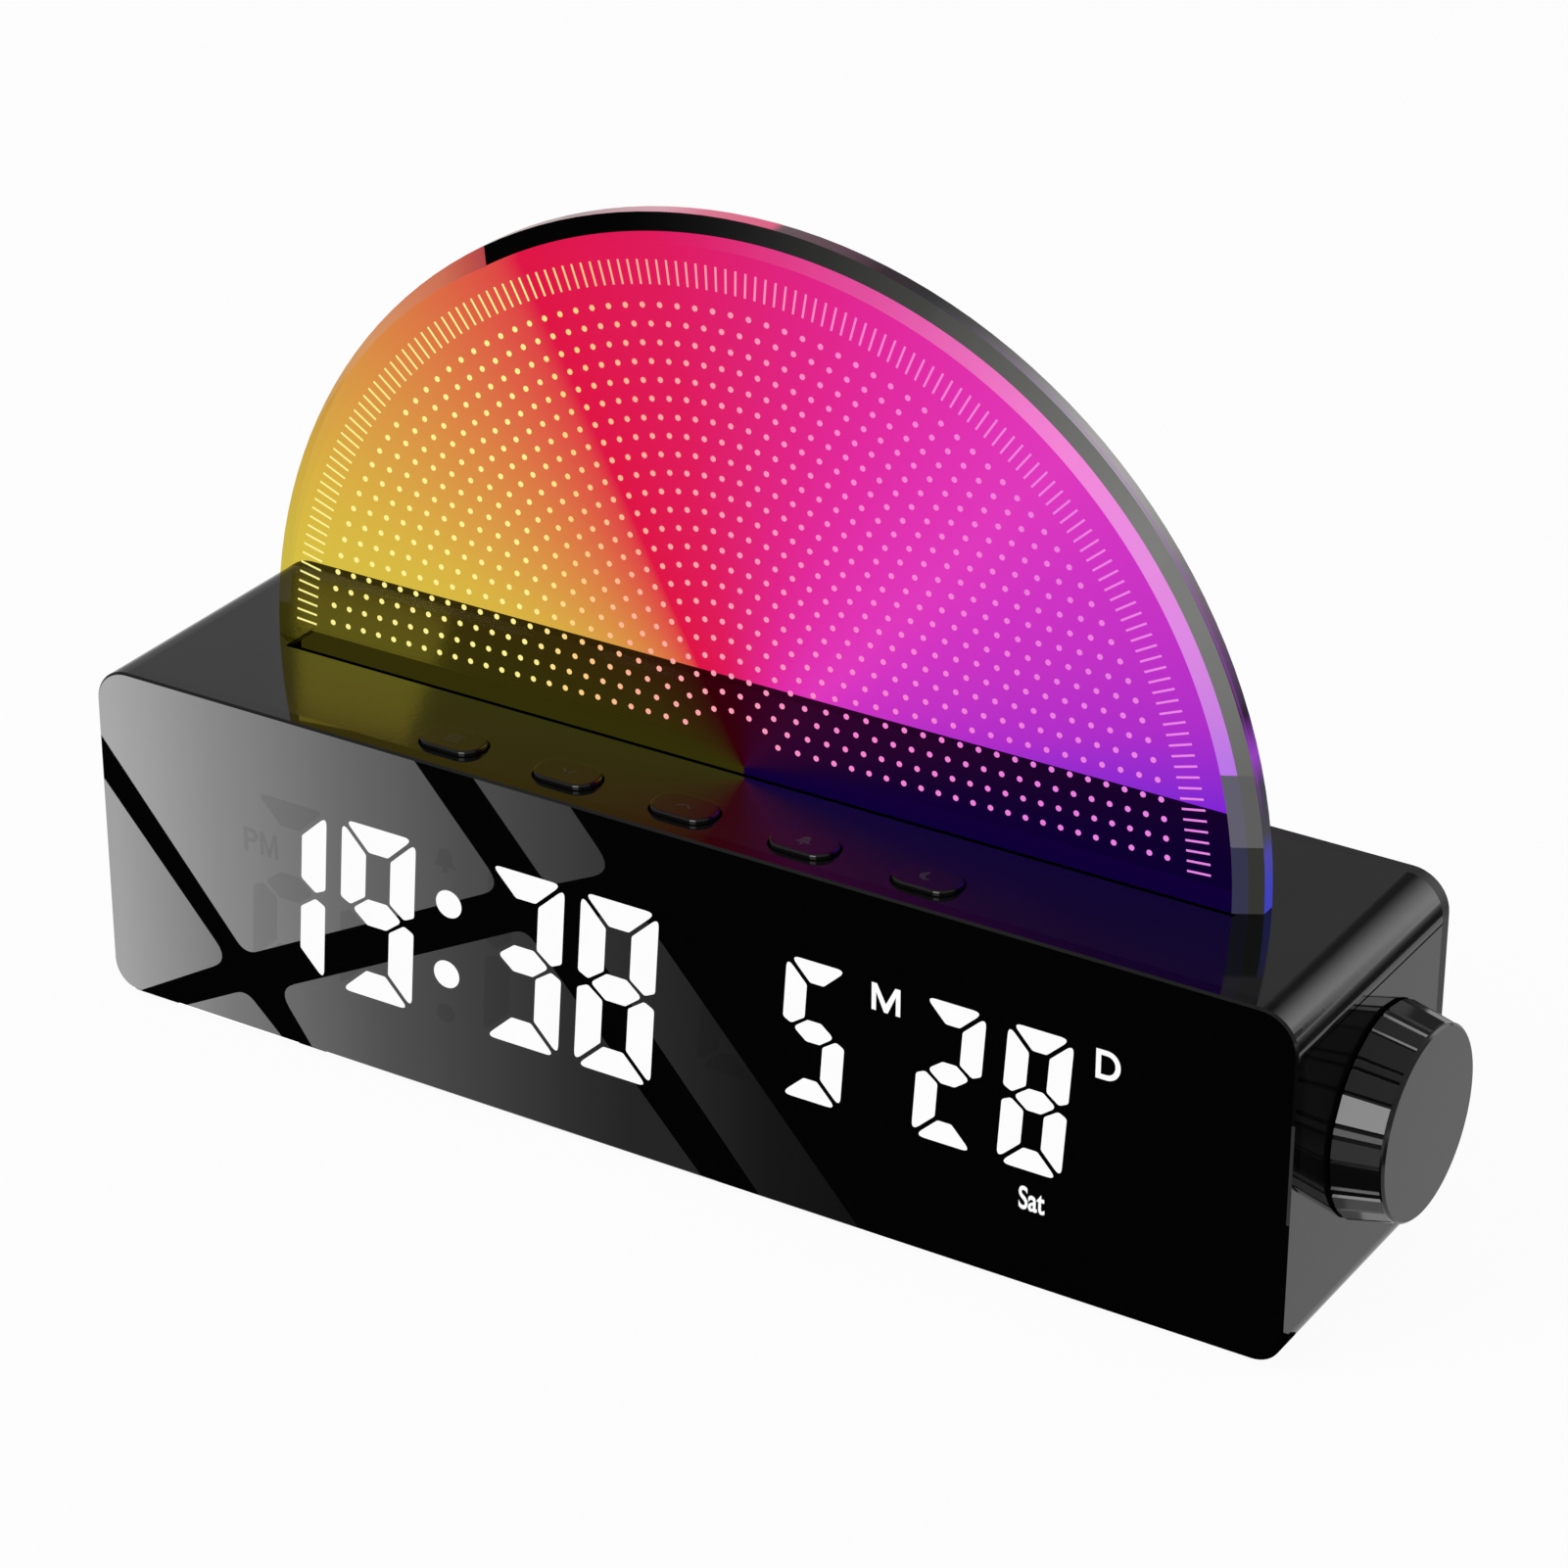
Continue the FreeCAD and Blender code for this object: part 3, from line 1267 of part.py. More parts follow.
# The surround is glued to the basket's inside and carries the cone, whose neck is the voice coil
cone_wide = number("cone_radius")
coil = number("voice_coil_radius")
cone_skin = number("cone_thickness")
cone_front = flange_depth + cone_skin
keep(placed("speaker_surround", revolved([
    (cone_wide, cone_front),
    (cone_wide + number("surround_radius"), cone_front - cone_skin),
    (wide - basket_wall, cone_front),
    (wide - basket_wall, cone_front + cone_skin),
    (cone_wide + number("surround_radius"), cone_front),
    (cone_wide, cone_front + cone_skin),
])), "speaker_surround")
cone_rear = basket_end - basket_wall
coil_reach = number("coil_depth - coil_travel")
keep(placed("speaker_cone", revolved([
    (0, cone_rear - 3 * cone_skin),
    (coil / 2, cone_rear - 3 * cone_skin),
    (coil, cone_rear - cone_skin),
    (cone_wide, cone_front),
    (cone_wide, cone_front + cone_skin),
    (coil + cone_skin, cone_rear),
    (coil + cone_skin, basket_end + coil_reach),
    (coil, basket_end + coil_reach),
    (coil, cone_rear),
    (coil / 2, cone_rear - 2 * cone_skin),
    (0, cone_rear - 2 * cone_skin),
])), "speaker_cone")
speaker_screw_length = "speaker_flange + gasket_thickness + rear_thickness / 2 - thread_gap"
screws(
    "speaker_screws",
    speaker_screw_length,
    Vector(0, 1, 0),
    [(x, FLANGE_FRONT, z) for x, z in speaker_screw_places],
)


# Main board and what it carries

main_board_blank = block(
    "main_board_blank",
    (board_left, board_front, BOARD_BOTTOM),
    (board_right, board_back, BOARD_TOP),
)
main_board_holes = [
    rod("main_board_hole", (x, y, BOARD_BOTTOM), Vector(0, 0, 1), SCREW_HOLE_RADIUS, "main_board_thickness")
    for x, y in board_screw_places
]
keep(cut("main_board", main_board_blank, main_board_holes), "main_board")
screws(
    "board_screws",
    "short_screw_length",
    Vector(0, 0, -1),
    [(x, y, BOARD_TOP) for x, y in board_screw_places],
)

board_middle_y = f"({INSIDE_BACK} - main_board_gap - main_board_depth / 2)"
usb_front = f"({BACK} - usb_recess - usb_length)"
usb_outside = block(
    "usb_outside",
    ("usb_x - usb_width / 2", usb_front, BOARD_TOP),
    ("usb_x + usb_width / 2", f"{BACK} - usb_recess", f"{BOARD_TOP} + usb_height"),
)
usb_rounded = doc.addObject("Part::Fillet", "usb_rounded")
usb_rounded.Base = usb_outside
doc.recompute()
usb_side_edges = [
    place for place, edge in enumerate(usb_outside.Shape.Edges, start=1)
    if edge.BoundBox.YLength > number("usb_length") / 2
]
usb_rounded.Edges = [(place, number("usb_corner"), number("usb_corner")) for place in usb_side_edges]
usb_cavity = block(
    "usb_cavity",
    ("usb_x - usb_width / 2 + usb_wall", f"{usb_front} + usb_wall", f"{BOARD_TOP} + usb_shell"),
    ("usb_x + usb_width / 2 - usb_wall", BACK, f"{BOARD_TOP} + usb_height - usb_shell"),
)
keep(cut("usb_socket", usb_rounded, [usb_cavity]), "usb_socket")
tongue_left, tongue_right = about("usb_x", "usb_tongue_width / 2")
tongue_low, tongue_high = about(f"{BOARD_TOP} + usb_height / 2", "usb_tongue_height / 2")
keep(block(
    "usb_tongue",
    (tongue_left, f"{usb_front} + usb_wall", tongue_low),
    (tongue_right, f"{BACK} - usb_recess - usb_wall", tongue_high),
), "usb_tongue")


def on_board(name, x, radius, start, height):
    return rod(name, (x, board_middle_y, f"{BOARD_TOP} + {start}"), Vector(0, 0, 1), radius, height)


cell_cup = on_board("cell_cup", "cell_x", "cell_radius + cell_gap + cell_holder_wall", "0",
                    "cell_height + cell_holder_wall")
cell_well = on_board("cell_well", "cell_x", "cell_radius + cell_gap", "cell_holder_wall", "cell_height")
keep(cut("coin_cell_holder", cell_cup, [cell_well]), "coin_cell_holder")
keep(on_board("coin_cell", "cell_x", "cell_radius", "cell_holder_wall", "cell_height"), "coin_cell")

chip_places = (
    ("main_chip", "main_chip_width", "main_chip_x"),
    ("audio_chip", "audio_chip_width", "usb_x"),
)
chips = []
for name, width, x in chip_places:
    left, right = about(x, f"{width} / 2")
    front, back = about(board_middle_y, f"{width} / 2")
    chips.append(block(name, (left, front, BOARD_TOP), (right, back, f"{BOARD_TOP} + chip_height")))
keep(group("board_chips", chips), "board_chips")
capacitor_x = "(usb_x + usb_width / 2 + capacitor_gap + capacitor_radius)"
capacitors = [
    on_board("capacitor", f"{capacitor_x} + {place} * capacitor_pitch", "capacitor_radius", "0",
             "capacitor_height")
    for place in range(2)
]
keep(group("capacitors", capacitors), "capacitors")


# Flat leads

def flat_lead(label, spans):
    """A flat lead folded square: each span is a box with the lead's thickness one way."""
    pieces = [block(label + "_span", low, high) for low, high in spans]
    keep(fuse(label, pieces) if len(pieces) > 1 else pieces[0], label)


half_lead = "lead_width / 2"
DISPLAY_LEAD_X = "(main_board_left + display_lead_inset)"
fold_y = f"{board_front} + lead_overlap"
lead_z = f"max({BOARD_TOP} + chip_height + lead_thickness; {REFLECTOR_BOTTOM} + lead_overlap)"
lead_level = f"{BUTTON_BOARD_TOP} + lead_thickness"
flat_lead("display_lead", [
    ((f"{DISPLAY_LEAD_X} - {half_lead}", DISPLAY_BOARD_BACK, lead_z),
     (f"{DISPLAY_LEAD_X} + {half_lead}", fold_y, f"{lead_z} + lead_thickness")),
    ((f"{DISPLAY_LEAD_X} - {half_lead}", f"{fold_y} - lead_thickness", BOARD_TOP),
     (f"{DISPLAY_LEAD_X} + {half_lead}", fold_y, f"{lead_z} + lead_thickness")),
])

BUTTON_LEAD_X = "(main_board_left + button_lead_inset)"
drop_y = f"({BUTTON_BOARD_BACK} + board_clearance)"
foot_y = f"max({fold_y}; {drop_y} + lead_overlap)"
flat_lead("button_lead", [
    ((f"{BUTTON_LEAD_X} - {half_lead}", f"{BUTTON_BOARD_BACK} - lead_overlap", BUTTON_BOARD_TOP),
     (f"{BUTTON_LEAD_X} + {half_lead}", f"{drop_y} + lead_thickness", lead_level)),
    ((f"{BUTTON_LEAD_X} - {half_lead}", drop_y, BOARD_TOP),
     (f"{BUTTON_LEAD_X} + {half_lead}", f"{drop_y} + lead_thickness", lead_level)),
    ((f"{BUTTON_LEAD_X} - {half_lead}", drop_y, BOARD_TOP),
     (f"{BUTTON_LEAD_X} + {half_lead}", foot_y, f"{BOARD_TOP} + lead_thickness")),
])

flat_lead("strip_lead", [
    ((f"{STRIP_LEAD_X} - {half_lead}", f"{PLATE_MIDDLE} - lead_thickness / 2", BOARD_TOP),
     (f"{STRIP_LEAD_X} + {half_lead}", f"{PLATE_MIDDLE} + lead_thickness / 2", CHANNEL_FLOOR)),
])

lead_y_low = f"{KNOB_Y} - {half_lead}"
lead_y_high = f"{KNOB_Y} + {half_lead}"
lead_turn_x = f"({board_right} + lead_overlap)"
flat_lead("encoder_lead", [
    ((lead_turn_x, lead_y_low, KNOB_Z),
     (f"{ENCODER_LEFT} - encoder_board_thickness", lead_y_high, f"{KNOB_Z} + lead_thickness")),
    ((lead_turn_x, lead_y_low, BOARD_TOP),
     (f"{lead_turn_x} + lead_thickness", lead_y_high, f"{KNOB_Z} + lead_thickness")),
    ((f"{board_right} - lead_overlap", lead_y_low, BOARD_TOP),
     (f"{lead_turn_x} + lead_thickness", lead_y_high, f"{BOARD_TOP} + lead_thickness")),
])

flange_right = f"({SPEAKER_X} + {speaker_half})"
speaker_lead_end = f"({board_left} + lead_overlap / 2)"
speaker_lead_low, speaker_lead_high = about(SPEAKER_Z, "lead_width / 4")
flat_lead("speaker_lead", [
    ((f"{flange_right} - lead_overlap", f"{FLANGE_FRONT} - lead_thickness", speaker_lead_low),
     (speaker_lead_end, FLANGE_FRONT, speaker_lead_high)),
    ((f"{speaker_lead_end} - lead_thickness", f"{FLANGE_FRONT} - lead_overlap / 2", BOARD_TOP),
     (speaker_lead_end, FLANGE_FRONT, speaker_lead_high)),
])


# Checks, then one file for each sub-part

doc.recompute()
for thing in doc.Objects:
    if "Invalid" in thing.State or "Error" in thing.State:
        raise SystemExit(f"{thing.Label} did not compute: {thing.State}")
for part in sub_parts:
    if part.Shape.isNull() or not part.Shape.isValid() or not part.Shape.Solids:
        raise SystemExit(f"{part.Label} has no valid solid")

os.makedirs("parts", exist_ok=True)
for part in sub_parts:
    part.Shape.exportStep(f"parts/{part.Label}.step")
print(len(sub_parts), "sub-parts written")
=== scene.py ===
import math

import bmesh
import bpy
from mathutils import Euler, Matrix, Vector


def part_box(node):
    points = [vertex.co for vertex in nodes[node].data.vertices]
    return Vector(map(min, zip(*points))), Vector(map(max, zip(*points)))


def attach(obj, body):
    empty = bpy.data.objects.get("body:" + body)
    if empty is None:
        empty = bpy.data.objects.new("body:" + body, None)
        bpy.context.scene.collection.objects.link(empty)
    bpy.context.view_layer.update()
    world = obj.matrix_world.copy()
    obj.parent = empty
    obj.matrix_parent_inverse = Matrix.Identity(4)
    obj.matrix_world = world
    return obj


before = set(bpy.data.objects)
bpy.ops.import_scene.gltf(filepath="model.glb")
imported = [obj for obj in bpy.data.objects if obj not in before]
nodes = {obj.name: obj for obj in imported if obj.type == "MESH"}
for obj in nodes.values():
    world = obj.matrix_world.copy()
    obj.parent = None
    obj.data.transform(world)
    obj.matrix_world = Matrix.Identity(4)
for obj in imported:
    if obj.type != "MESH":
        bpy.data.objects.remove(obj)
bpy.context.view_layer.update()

MM = 0.001


# Places taken from the frame

panel_low, panel_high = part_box("front_panel")
plate_low, plate_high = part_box("light_plate")
digits_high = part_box("digit_segments")[1]
can_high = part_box("capacitors")[1]
BODY_X = (panel_low.x + panel_high.x) / 2
BODY_LEFT = panel_low.x
BODY_BOTTOM = panel_low.z
PLATE_X = (plate_low.x + plate_high.x) / 2
PLATE_RADIUS = (plate_high.x - plate_low.x) / 2
PLATE_Z = plate_high.z - PLATE_RADIUS
PLATE_FRONT = plate_low.y


# Colours and material nodes

def linear(shade):
    """One channel of a display colour, 0 to 255, as light."""
    share = shade / 255
    return share / 12.92 if share <= 0.04045 else ((share + 0.055) / 1.055) ** 2.4


def colour(red, green, blue):
    return (linear(red), linear(green), linear(blue), 1.0)


def grey(shade):
    return colour(shade, shade, shade)


class Value:
    """One output of a shader node; arithmetic on it adds Math nodes."""

    def __init__(self, finish, socket):
        self.finish = finish
        self.socket = socket

    def output(self, name):
        return Value(self.finish, self.socket.node.outputs[name])

    def maths(self, operation, *others):
        return self.finish.maths(operation, self, *others)

    def __add__(self, other):
        return self.finish.maths("ADD", self, other)

    def __radd__(self, other):
        return self.finish.maths("ADD", other, self)

    def __sub__(self, other):
        return self.finish.maths("SUBTRACT", self, other)

    def __rsub__(self, other):
        return self.finish.maths("SUBTRACT", other, self)

    def __mul__(self, other):
        return self.finish.maths("MULTIPLY", self, other)

    def __rmul__(self, other):
        return self.finish.maths("MULTIPLY", other, self)

    def __truediv__(self, other):
        return self.finish.maths("DIVIDE", self, other)

    def __pow__(self, other):
        return self.finish.maths("POWER", self, other)

    def above(self, edge):
        """1 where the value is above edge, else 0."""
        return self.maths("GREATER_THAN", edge)

    def below(self, edge):
        return self.maths("LESS_THAN", edge)

    def rise(self, start, end, smooth=True):
        """0 at start and before it, 1 at end and after it."""
        kind = "SMOOTHSTEP" if smooth else "LINEAR"
        sockets = {"Value": self, "From Min": start, "From Max": end}
        return self.finish.node("MapRange", {"interpolation_type": kind}, sockets)

    def ramp(self, stops):
        """The colour at this value, between stops of (position, colour)."""
        first, last = stops[0][0], stops[-1][0]
        share = (self - first) / (last - first)
        spots = [((position - first) / (last - first), shade) for position, shade in stops]
        return self.finish.node("ValToRGB", {"stops": spots}, {"Fac": share})


class Finish:
    """A material, or the world, made of nodes."""

    def __init__(self, name, owner=None):
        self.owner = owner or bpy.data.materials.new(name)
        self.owner.use_nodes = True
        self.tree = self.owner.node_tree
        self.tree.nodes.clear()

    def node(self, kind, settings=None, sockets=None):
        """A new node, set up, with its inputs filled or linked; gives back its first output."""
        made = self.tree.nodes.new("ShaderNode" + kind)
        for name, setting in (settings or {}).items():
            if name == "stops":
                self.set_stops(made.color_ramp, setting)
            else:
                setattr(made, name, setting)
        for name, value in (sockets or {}).items():
            if isinstance(value, Value):
                self.tree.links.new(value.socket, made.inputs[name])
            else:
                made.inputs[name].default_value = value
        return Value(self, made.outputs[0]) if made.outputs else None

    def set_stops(self, ramp, stops):
        while len(ramp.elements) > 1:
            ramp.elements.remove(ramp.elements[-1])
        ramp.elements[0].position = stops[0][0]
        ramp.elements[0].color = stops[0][1]
        for position, shade in stops[1:]:
            ramp.elements.new(position).color = shade

    def maths(self, operation, *operands):
        return self.node("Math", {"operation": operation}, dict(enumerate(operands)))

    def spot(self):
        """The place on the object in metres, in the frame."""
        return self.node("TexCoord").output("Object")

    def parts_of(self, vector):
        split = self.node("SeparateXYZ", sockets={"Vector": vector})
        return split.output("X"), split.output("Y"), split.output("Z")

    def stretched(self, vector, factors):
        return self.node("VectorMath", {"operation": "MULTIPLY"}, {0: vector, 1: factors})

    def noise(self, size, detail=2.0, stretch=None):
        """Soft noise, 0 to 1, with lumps of that size in metres."""
        vector = self.stretched(self.spot(), stretch) if stretch else self.spot()
        sockets = {"Vector": vector, "Scale": 1 / size, "Detail": detail}
        return self.node("TexNoise", sockets=sockets)

    def cells(self, size):
        """The distance to the nearest grain's middle, for grains of that size."""
        return self.node("TexVoronoi", sockets={"Vector": self.spot(), "Scale": 1 / size})

    def blend(self, share, first, second):
        """Two colours mixed."""
        made = self.node("Mix", {"data_type": "RGBA"}, {0: share, 6: first, 7: second})
        return Value(self, made.socket.node.outputs[2])

    def bump(self, height, depth):
        return self.node("Bump", sockets={"Height": height, "Distance": depth, "Strength": 1.0})

    def mix(self, share, first, second):
        """Two shaders mixed."""
        return self.node("MixShader", sockets={0: share, 1: first, 2: second})

    def solid(self, sockets):
        return self.node("BsdfPrincipled", sockets=sockets)

    def clear(self, tint):
        return self.node("BsdfTransparent", sockets={"Color": tint})

    def glow(self, shade, strength=1.0):
        return self.node("Emission", sockets={"Color": shade, "Strength": strength})

    def done(self, surface):
        self.node("OutputMaterial", sockets={"Surface": surface})
        return self.owner


# Finishes

GLOSS_BLACK = (0.004, 0.004, 0.0045, 1)
KNOB_BLACK = (0.006, 0.006, 0.0065, 1)
SHEET_BLACK = (0.0012, 0.0012, 0.0014, 1)
SHEET_HAZE = (0.002, 0.002, 0.0024, 1)
BLACK = (0, 0, 0, 1)
WHITE = (1, 1, 1, 1)
# Width of a conductor and its gap in a flat lead
LEAD_PITCH = 1.0 * MM
# How far below a capacitor's top its sleeve ends
SLEEVE_GAP = 1.2 * MM


def plastic(name, shade, roughness, spread, grain, depth, patch=0.02):
    """Moulded plastic: its roughness wanders in soft patches and its surface has a fine grain."""
    finish = Finish(name)
    wander = finish.noise(patch, 3.0)
    pale = tuple(min(1.0, channel * 1.25) for channel in shade[:3]) + (1.0,)
    return finish.done(finish.solid({
        "Base Color": finish.blend(wander, shade, pale),
        "Roughness": roughness + spread * wander,
        "Normal": finish.bump(finish.noise(grain, 2.0), depth),
    }))


def brushed(name, shade, roughness, size, stretch):
    """Plated or turned metal with fine lines along one direction."""
    finish = Finish(name)
    lines = finish.noise(size, 4.0, stretch)
    return finish.done(finish.solid({
        "Base Color": finish.blend(lines, shade, grey(235)),
        "Metallic": 1.0,
        "Roughness": roughness + 0.15 * lines,
        "Normal": finish.bump(lines, 0.01 * MM),
    }))


def circuit_board():
    """Green solder mask over copper tracks, with tinned pads."""
    finish = Finish("circuit_board")
    tracks = finish.node("TexBrick", {"offset": 0.35, "squash": 0.6}, {
        "Vector": finish.spot(), "Scale": 260.0, "Mortar Size": 0.05, "Mortar Smooth": 0.2})
    track = tracks.output("Fac")
    pads = finish.cells(3.2 * MM).below(0.16)
    mask = finish.blend(track, colour(12, 74, 40), colour(34, 112, 62))
    return finish.done(finish.solid({
        "Base Color": finish.blend(pads, mask, colour(196, 192, 178)),
        "Metallic": 0.9 * pads,
        "Roughness": 0.32 + 0.1 * finish.noise(4 * MM),
        "Normal": finish.bump(track + pads, 0.03 * MM),
    }))


def ribbon_lead():
    """Pale flat lead with its conductors showing as darker stripes."""
    finish = Finish("ribbon_lead")
    x, y, _ = finish.parts_of(finish.spot())
    stripe = ((x + y) * (2 * math.pi / LEAD_PITCH)).maths("SINE").above(0.1)
    return finish.done(finish.solid({
        "Base Color": finish.blend(stripe, colour(226, 224, 212), colour(168, 158, 132)),
        "Roughness": 0.45 + 0.1 * finish.noise(3 * MM),
        "Normal": finish.bump(stripe, 0.05 * MM),
    }))


def capacitor_can():
    """Aluminium can in a dark sleeve that stops just short of the top."""
    finish = Finish("capacitor_can")
    height = finish.parts_of(finish.spot())[2]
    sleeve = height.below(can_high.z - SLEEVE_GAP)
    scratches = finish.noise(0.4 * MM, 3.0)
    return finish.done(finish.solid({
        "Base Color": finish.blend(sleeve, grey(206), colour(26, 34, 60)),
        "Metallic": 1.0 - sleeve,
        "Roughness": 0.28 + 0.12 * scratches,
        "Normal": finish.bump(scratches, 0.01 * MM),
    }))


def cone_paper():
    """Pressed dark paper with fibres."""
    finish = Finish("cone_paper")
    fibres = finish.noise(0.35 * MM, 6.0)
    return finish.done(finish.solid({
        "Base Color": finish.blend(fibres, grey(34), grey(66)),
        "Roughness": 0.8 + 0.15 * fibres,
        "Normal": finish.bump(fibres, 0.08 * MM),
    }))


def led_lens():
    """Clear cap over a yellow phosphor dot."""
    finish = Finish("led_lens")
    phosphor = finish.noise(0.8 * MM, 1.0)
    return finish.done(finish.solid({
        "Base Color": finish.blend(phosphor, colour(244, 240, 224), colour(240, 214, 96)),
        "Roughness": 0.15 + 0.1 * phosphor,
    }))


# The tinted plate. Angles are in degrees round the middle of its lower edge, from the right end,
# and lengths are in mm. Each stop of the tint is an angle and the shade that white light gets.

SUNRISE = (
    (0, (92, 0, 240)),
    (6, (108, 18, 232)),
    (12, (137, 42, 211)),
    (20, (177, 46, 203)),
    (30, (196, 50, 199)),
    (40, (210, 52, 197)),
    (50, (225, 57, 191)),
    (60, (226, 50, 179)),
    (70, (227, 43, 162)),
    (80, (227, 37, 140)),
    (90, (225, 33, 117)),
    (100, (225, 26, 93)),
    (118, (225, 21, 69)),
    (121, (225, 72, 70)),
    (130, (223, 110, 70)),
    (140, (222, 138, 70)),
    (150, (220, 161, 70)),
    (160, (219, 181, 68)),
    (180, (214, 204, 68)),
)
# The share of light that the plate's two gloss faces let through, and what one of them mirrors
PLATE_CLARITY = 0.92
PLATE_SHINE = 0.04
# The tint turns round a point this far right of the plate's middle and above its lower edge
TINT_SHIFT = 1.0
# The bevel's band of painted light: its inner radius, its depth behind the front face, and where it
# fades out
BEVEL_START = 79.1
BEVEL_DEPTH = 2.11
BAND_FADE = (88, 101)
# The ring outside it, painted with reflected light, grey at the right and dark at the top: its
# inner radius at the right, how much it widens from one angle to its end, and that end
RING_START = 81.1
RING_GROWTH = 0.7
RING_GROWTH_START = 60
RING_END = 121.6
# Below the first height the painted band and ring are duller, and below the second they are painted
# darker at the right
DULL_BELOW = 20.4
DARK_BELOW = 10.0
DULL_BAND, DARK_BAND = (99, 97, 112), (55, 56, 80)
DULL_RING, DARK_RING = (96, 96, 96), (54, 54, 50)
# The painted light on the clear left part of the bevel, a pale glow: its inner radius, how that
# grows with the angle, where it fades out, and its share
LEFT_LIGHT_START = 80.3
LEFT_LIGHT_SLANT = 0.068
LEFT_LIGHT_FADE = (140, 160)
LEFT_LIGHT_SHARE = 0.9
# The rim, painted with its highlights and reflections as a fixed glow: how wide it is and where it
# fades out
RIM_WIDTH = 1.05
RIM_FADE = (116, 128)
# The painted violet glint in the rim: its depths, where it comes and goes, its shade and its share
GLINT_DEPTHS = (2.4, 2.9)
GLINT_RISE = (9, 14)
GLINT_FADE = (30, 76)
GLINT_SHADE = (176, 52, 214)
GLINT_SHARE = 0.3
# The tongue below the cover: its back glows in this grey, a painted reflection of the cover's sheen
# seen through the plate, and its front is painted black shade
FOOT_PAINTED_SHEEN = 60
# The shades of the painted light and shade on the bevel's band, on the ring outside it, on the
# clear left part and on the rim, by angle
BAND_SHADES = (
    (16, (189, 121, 236)),
    (20, (204, 129, 231)),
    (25, (217, 136, 230)),
    (30, (227, 140, 233)),
    (35, (234, 142, 228)),
    (40, (237, 140, 228)),
    (45, (243, 138, 224)),
    (50, (247, 134, 219)),
    (55, (245, 125, 209)),
    (60, (241, 115, 197)),
    (65, (236, 105, 186)),
    (70, (234, 95, 175)),
    (75, (230, 82, 162)),
    (80, (230, 72, 151)),
    (85, (228, 61, 137)),
    (90, (226, 49, 123)),
    (95, (224, 40, 108)),
)
RING_SHADES = (
    (8, (92, 92, 90)),
    (13, (103, 103, 101)),
    (20, (114, 114, 112)),
    (30, (125, 125, 124)),
    (40, (125, 125, 124)),
    (50, (110, 110, 109)),
    (60, (92, 92, 91)),
    (70, (69, 69, 68)),
    (80, (50, 50, 49)),
    (90, (28, 28, 28)),
    (95, (17, 17, 17)),
    (100, (8, 8, 8)),
    (105, (2, 2, 2)),
)
LEFT_LIGHT_SHADES = (
    (121.6, (176, 70, 78)),
    (124, (192, 86, 76)),
    (128, (206, 115, 89)),
    (132, (214, 129, 96)),
    (136, (216, 143, 103)),
    (145, (220, 163, 107)),
    (155, (224, 184, 107)),
)
RIM_SHADES = (
    (2, (67, 68, 198)),
    (6, (80, 74, 170)),
    (8, (76, 75, 80)),
    (13, (73, 66, 86)),
    (16, (152, 68, 193)),
    (20, (40, 27, 45)),
    (25, (89, 62, 98)),
    (30, (110, 90, 112)),
    (35, (128, 121, 128)),
    (40, (152, 152, 150)),
    (45, (172, 168, 170)),
    (50, (172, 168, 170)),
    (55, (150, 148, 150)),
    (60, (120, 116, 118)),
    (65, (82, 82, 81)),
    (70, (55, 55, 55)),
    (75, (60, 48, 55)),
    (80, (100, 75, 85)),
    (86.5, (109, 92, 97)),
    (87.5, (230, 105, 140)),
    (95, (236, 130, 158)),
    (100, (240, 180, 195)),
    (110, (214, 186, 189)),
    (121.6, (226, 190, 176)),
)


def plate_polar(finish, shift=0.0):
    """Distance in mm and angle in degrees round the plate's middle, then height and depth in mm."""
    x, y, z = finish.parts_of(finish.spot())
    across = (x - PLATE_X) / MM - shift
    height = (z - PLATE_Z) / MM
    distance = (across * across + height * height).maths("SQRT")
    angle = (height - shift).maths("MAXIMUM", 0.02).maths("ARCTAN2", across) * (180 / math.pi)
    return distance, angle, height, (y - PLATE_FRONT) / MM


def sunrise_tint(finish):
    """Clear sheets of plain colours, each mixed into the next between their stops."""
    def sheet(shade):
        light = [min(1.0, linear(channel) / PLATE_CLARITY) for channel in shade]
        return finish.clear((*light, 1.0))

    angle = plate_polar(finish, TINT_SHIFT)[1]
    tinted = sheet(SUNRISE[0][1])
    for (start, _), (end, shade) in zip(SUNRISE, SUNRISE[1:]):
        tinted = finish.mix(angle.rise(start, end, smooth=False), tinted, sheet(shade))
    return tinted


def shades(stops):
    return [(angle, colour(*shade)) for angle, shade in stops]


